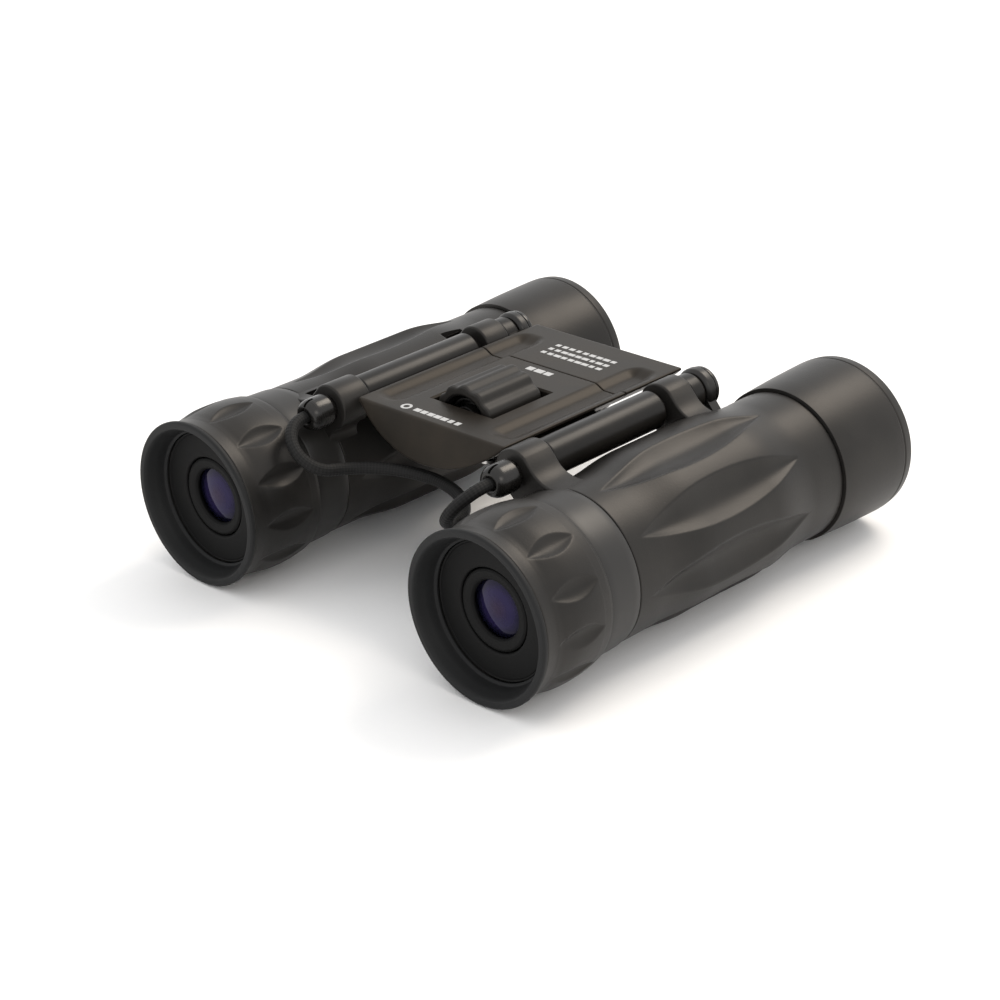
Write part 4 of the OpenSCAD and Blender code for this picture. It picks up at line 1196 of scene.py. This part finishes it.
def dash_rows():
    """Rows of short dashes of uneven length, laid flat."""
    group, ids, start, end = node_group("dash_rows", {
        "Rows": "NodeSocketInt", "Dashes": "NodeSocketInt", "Row pitch": "NodeSocketFloat",
        "Dash pitch": "NodeSocketFloat", "Height": "NodeSocketFloat", "Seed": "NodeSocketInt",
        "Ink": "NodeSocketMaterial"})
    step_x = grow(group, "ShaderNodeCombineXYZ", None, {0: start.outputs["Dash pitch"]})
    step_y = grow(group, "ShaderNodeCombineXYZ", None, {1: start.outputs["Row pitch"]})
    one = grow(group, "GeometryNodeMeshLine", None,
               {"Count": start.outputs["Dashes"], "Offset": step_x.outputs[0]})
    down = grow(group, "GeometryNodeMeshLine", None,
                {"Count": start.outputs["Rows"], "Offset": step_y.outputs[0]})
    rows = grow(group, "GeometryNodeInstanceOnPoints", None,
                {"Points": down.outputs[0], "Instance": one.outputs[0]})
    spots = grow(group, "GeometryNodeRealizeInstances", None, {0: rows.outputs[0]})
    dash = grow(group, "GeometryNodeMeshCube", None, {"Size": (1, 1, 0.00003)})
    length = grow(group, "FunctionNodeRandomValue", {"data_type": "FLOAT"},
                  {2: 0.55, 3: 0.92, "Seed": start.outputs["Seed"]})
    wide = grow(group, "ShaderNodeMath", {"operation": "MULTIPLY"},
                {0: length.outputs[1], 1: start.outputs["Dash pitch"]})
    size = grow(group, "ShaderNodeCombineXYZ", None,
                {0: wide.outputs[0], 1: start.outputs["Height"], 2: 1.0})
    laid = grow(group, "GeometryNodeInstanceOnPoints", None,
                {"Points": spots.outputs[0], "Instance": dash.outputs[0], "Scale": size.outputs[0]})
    real = grow(group, "GeometryNodeRealizeInstances", None, {0: laid.outputs[0]})
    inked = grow(group, "GeometryNodeSetMaterial", None,
                 {"Geometry": real.outputs[0], "Material": start.outputs["Ink"]})
    group.links.new(inked.outputs[0], end.inputs[0])
    return group, ids


def grown_piece(name, group, ids, values, place, material, body, replaces=()):
    """Runs a Geometry Nodes group once and keeps its result as a plain mesh."""
    holder = bpy.data.objects.new(name + "_source", bpy.data.meshes.new(name + "_source"))
    bpy.context.scene.collection.objects.link(holder)
    step = holder.modifiers.new("grow", "NODES")
    step.node_group = group
    for label, value in values.items():
        step[ids[label]] = value
    graph = bpy.context.evaluated_depsgraph_get()
    mesh = bpy.data.meshes.new_from_object(holder.evaluated_get(graph))
    bpy.data.objects.remove(holder)
    mesh.transform(Matrix.Translation(Vector(place) * MM))
    return dress(name, mesh, material, body, replaces, 30)


def printed_marks(ink):
    """Plain dashes where the maker's print would be: no letters."""
    group, ids = dash_rows()
    height = TOP_Z + 0.01
    marks = (
        ("front_print", "bridge", 1, 7, 1.0, 1.75, 1.25, 3, (-5.6, BRIDGE_Y + 2.6)),
        ("size_print", "bridge", 1, 3, 1.0, 2.3, 1.5, 5, (-3.4, SEAM_Y - 2.3)),
        ("rear_print", "focus_slider", 3, 9, 2.15, 1.8, 1.0, 8, (-7.4, SEAM_Y + 5.6)),
    )
    for name, body, rows, dashes, row_pitch, dash_pitch, tall, seed, spot in marks:
        values = {"Rows": rows, "Dashes": dashes, "Row pitch": row_pitch * MM,
                  "Dash pitch": dash_pitch * MM, "Height": tall * MM, "Seed": seed, "Ink": ink}
        grown_piece(name, group, ids, values, (*spot, height), ink, body)
    dot = [(0.62, -0.015), (1.15, -0.015), (1.15, 0.015), (0.62, 0.015)]
    points, faces = turn(dot, (0, 0), 40)
    points = points[:, [0, 2, 1]] + (-8.6, BRIDGE_Y + 2.6, height)
    make_piece("front_ring_print", [(points, faces)], ink, "bridge")


def screw_heads(steel):
    """Four slotted screws under the belly."""
    group, ids, start, end = node_group("screw_heads", {
        "Radius": "NodeSocketFloat", "Depth": "NodeSocketFloat", "Metal": "NodeSocketMaterial"})
    joined = grow(group, "GeometryNodeJoinGeometry")
    head = grow(group, "GeometryNodeMeshCylinder", {"fill_type": "NGON"},
                {"Vertices": 32, "Radius": start.outputs["Radius"],
                 "Depth": start.outputs["Depth"]})
    bar_size = grow(group, "ShaderNodeCombineXYZ", None,
                    {0: start.outputs["Radius"], 1: 0.0004, 2: 0.0006})
    slit = grow(group, "GeometryNodeMeshCube", None, {"Size": bar_size.outputs[0]})
    lower = grow(group, "GeometryNodeTransform", None,
                 {"Geometry": slit.outputs[0], "Translation": (0, 0, -0.0003)})
    cut_away = grow(group, "GeometryNodeMeshBoolean", {"operation": "DIFFERENCE"})
    group.links.new(head.outputs[0], cut_away.inputs[0])
    group.links.new(lower.outputs[0], cut_away.inputs[1])
    for x, y in SCREWS:
        spot = grow(group, "GeometryNodeTransform", None,
                    {"Geometry": cut_away.outputs[0],
                     "Translation": (x * MM, y * MM, (BELLY_Z + 2.1) * MM),
                     "Rotation": (0, 0, 0.4 * x + y)})
        group.links.new(spot.outputs[0], joined.inputs[0])
    real = grow(group, "GeometryNodeRealizeInstances", None, {0: joined.outputs[0]})
    metal = grow(group, "GeometryNodeSetMaterial", None,
                 {"Geometry": real.outputs[0], "Material": start.outputs["Metal"]})
    group.links.new(metal.outputs[0], end.inputs[0])
    values = {"Radius": 1.8 * MM, "Depth": 0.6 * MM, "Metal": steel}
    grown_piece("belly_screws", group, ids, values, (0, 0, 0), steel, "bridge",
                ["cover_screws"])


# ---------- the whole ----------

def paint_cad(node, material):
    """Gives a CAD node that stays a finished material."""
    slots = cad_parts[node].data.materials
    slots.clear()
    slots.append(material)


def build():
    add_camera()
    floor = add_studio()
    floor.data.materials.append(floor_card())
    materials = {
        "skin": soft_touch(), "cup": cup_rubber(), "band": band_plastic(), "cover": cover_paint(),
        "frame": frame_plastic(), "enamel": sleeve_enamel(), "black": matt_black(),
        "black_gloss": black_metal("wheel_black", 0.006, 0.3),
        "lug": black_metal("lug_bronze", 0.010, 0.16), "rod": black_metal("rod_black", 0.010, 0.26),
        "steel": bright_steel(), "wheel": wheel_rubber(), "braid": braid_cord(),
        "prism": clear_prism(), "ink": print_ink(),
        # both lens colours below are painted reflections of the lens coatings, set into the base colour
        "eye_glass": glass_with_painted_reflection("eye_coating_painted_reflection", 5.5, (0.003, 0.003, 0.008, 1),
                                  (0.012, 0.009, 0.036, 1), (0.018, 0.01, 0.026, 1)),
        "front_glass": glass_with_painted_reflection("front_coating_painted_reflection", 12.5, (0.003, 0.006, 0.009, 1),
                                    (0.008, 0.025, 0.035, 1), (0.014, 0.01, 0.035, 1)),
    }
    strap_cord(materials)
    for side in (-1, 1):
        armour(side, materials["skin"])
        barrel_tube(side, materials["skin"])
        objective_hood(side, materials["skin"])
        eyepiece_band(side, materials["band"])
        eyepiece_ring(side, materials["skin"])
        eyecup(side, materials["cup"])
        bezel(side, materials["black"])
        ocular(side, materials)
        strap_lug(side, materials["lug"])
        hinge_rod(side, materials["rod"])
        focus_arm(side, materials["rod"])
        end_cap(side, materials["lug"])
        for word in ("field_lens", "objective_lens"):
            paint_cad(name_of(side, word), materials["front_glass"])
        for word in ("field_stop", "objective_cell", "retaining_ring", "prism_cage"):
            paint_cad(name_of(side, word), materials["black"])
        for word in ("roof_prism", "half_prism"):
            paint_cad(name_of(side, word), materials["prism"])
        paint_cad(name_of(side, "prism_clip"), materials["steel"])
    paint_cad("lead_screw", materials["steel"])
    top_cover(materials["cover"])
    belly_cover(materials["frame"])
    bridge_frame(materials["frame"], materials["enamel"])
    slide_plate(materials["cover"], materials["enamel"])
    focus_wheel(materials)
    printed_marks(materials["ink"])
    screw_heads(materials["steel"])


build()
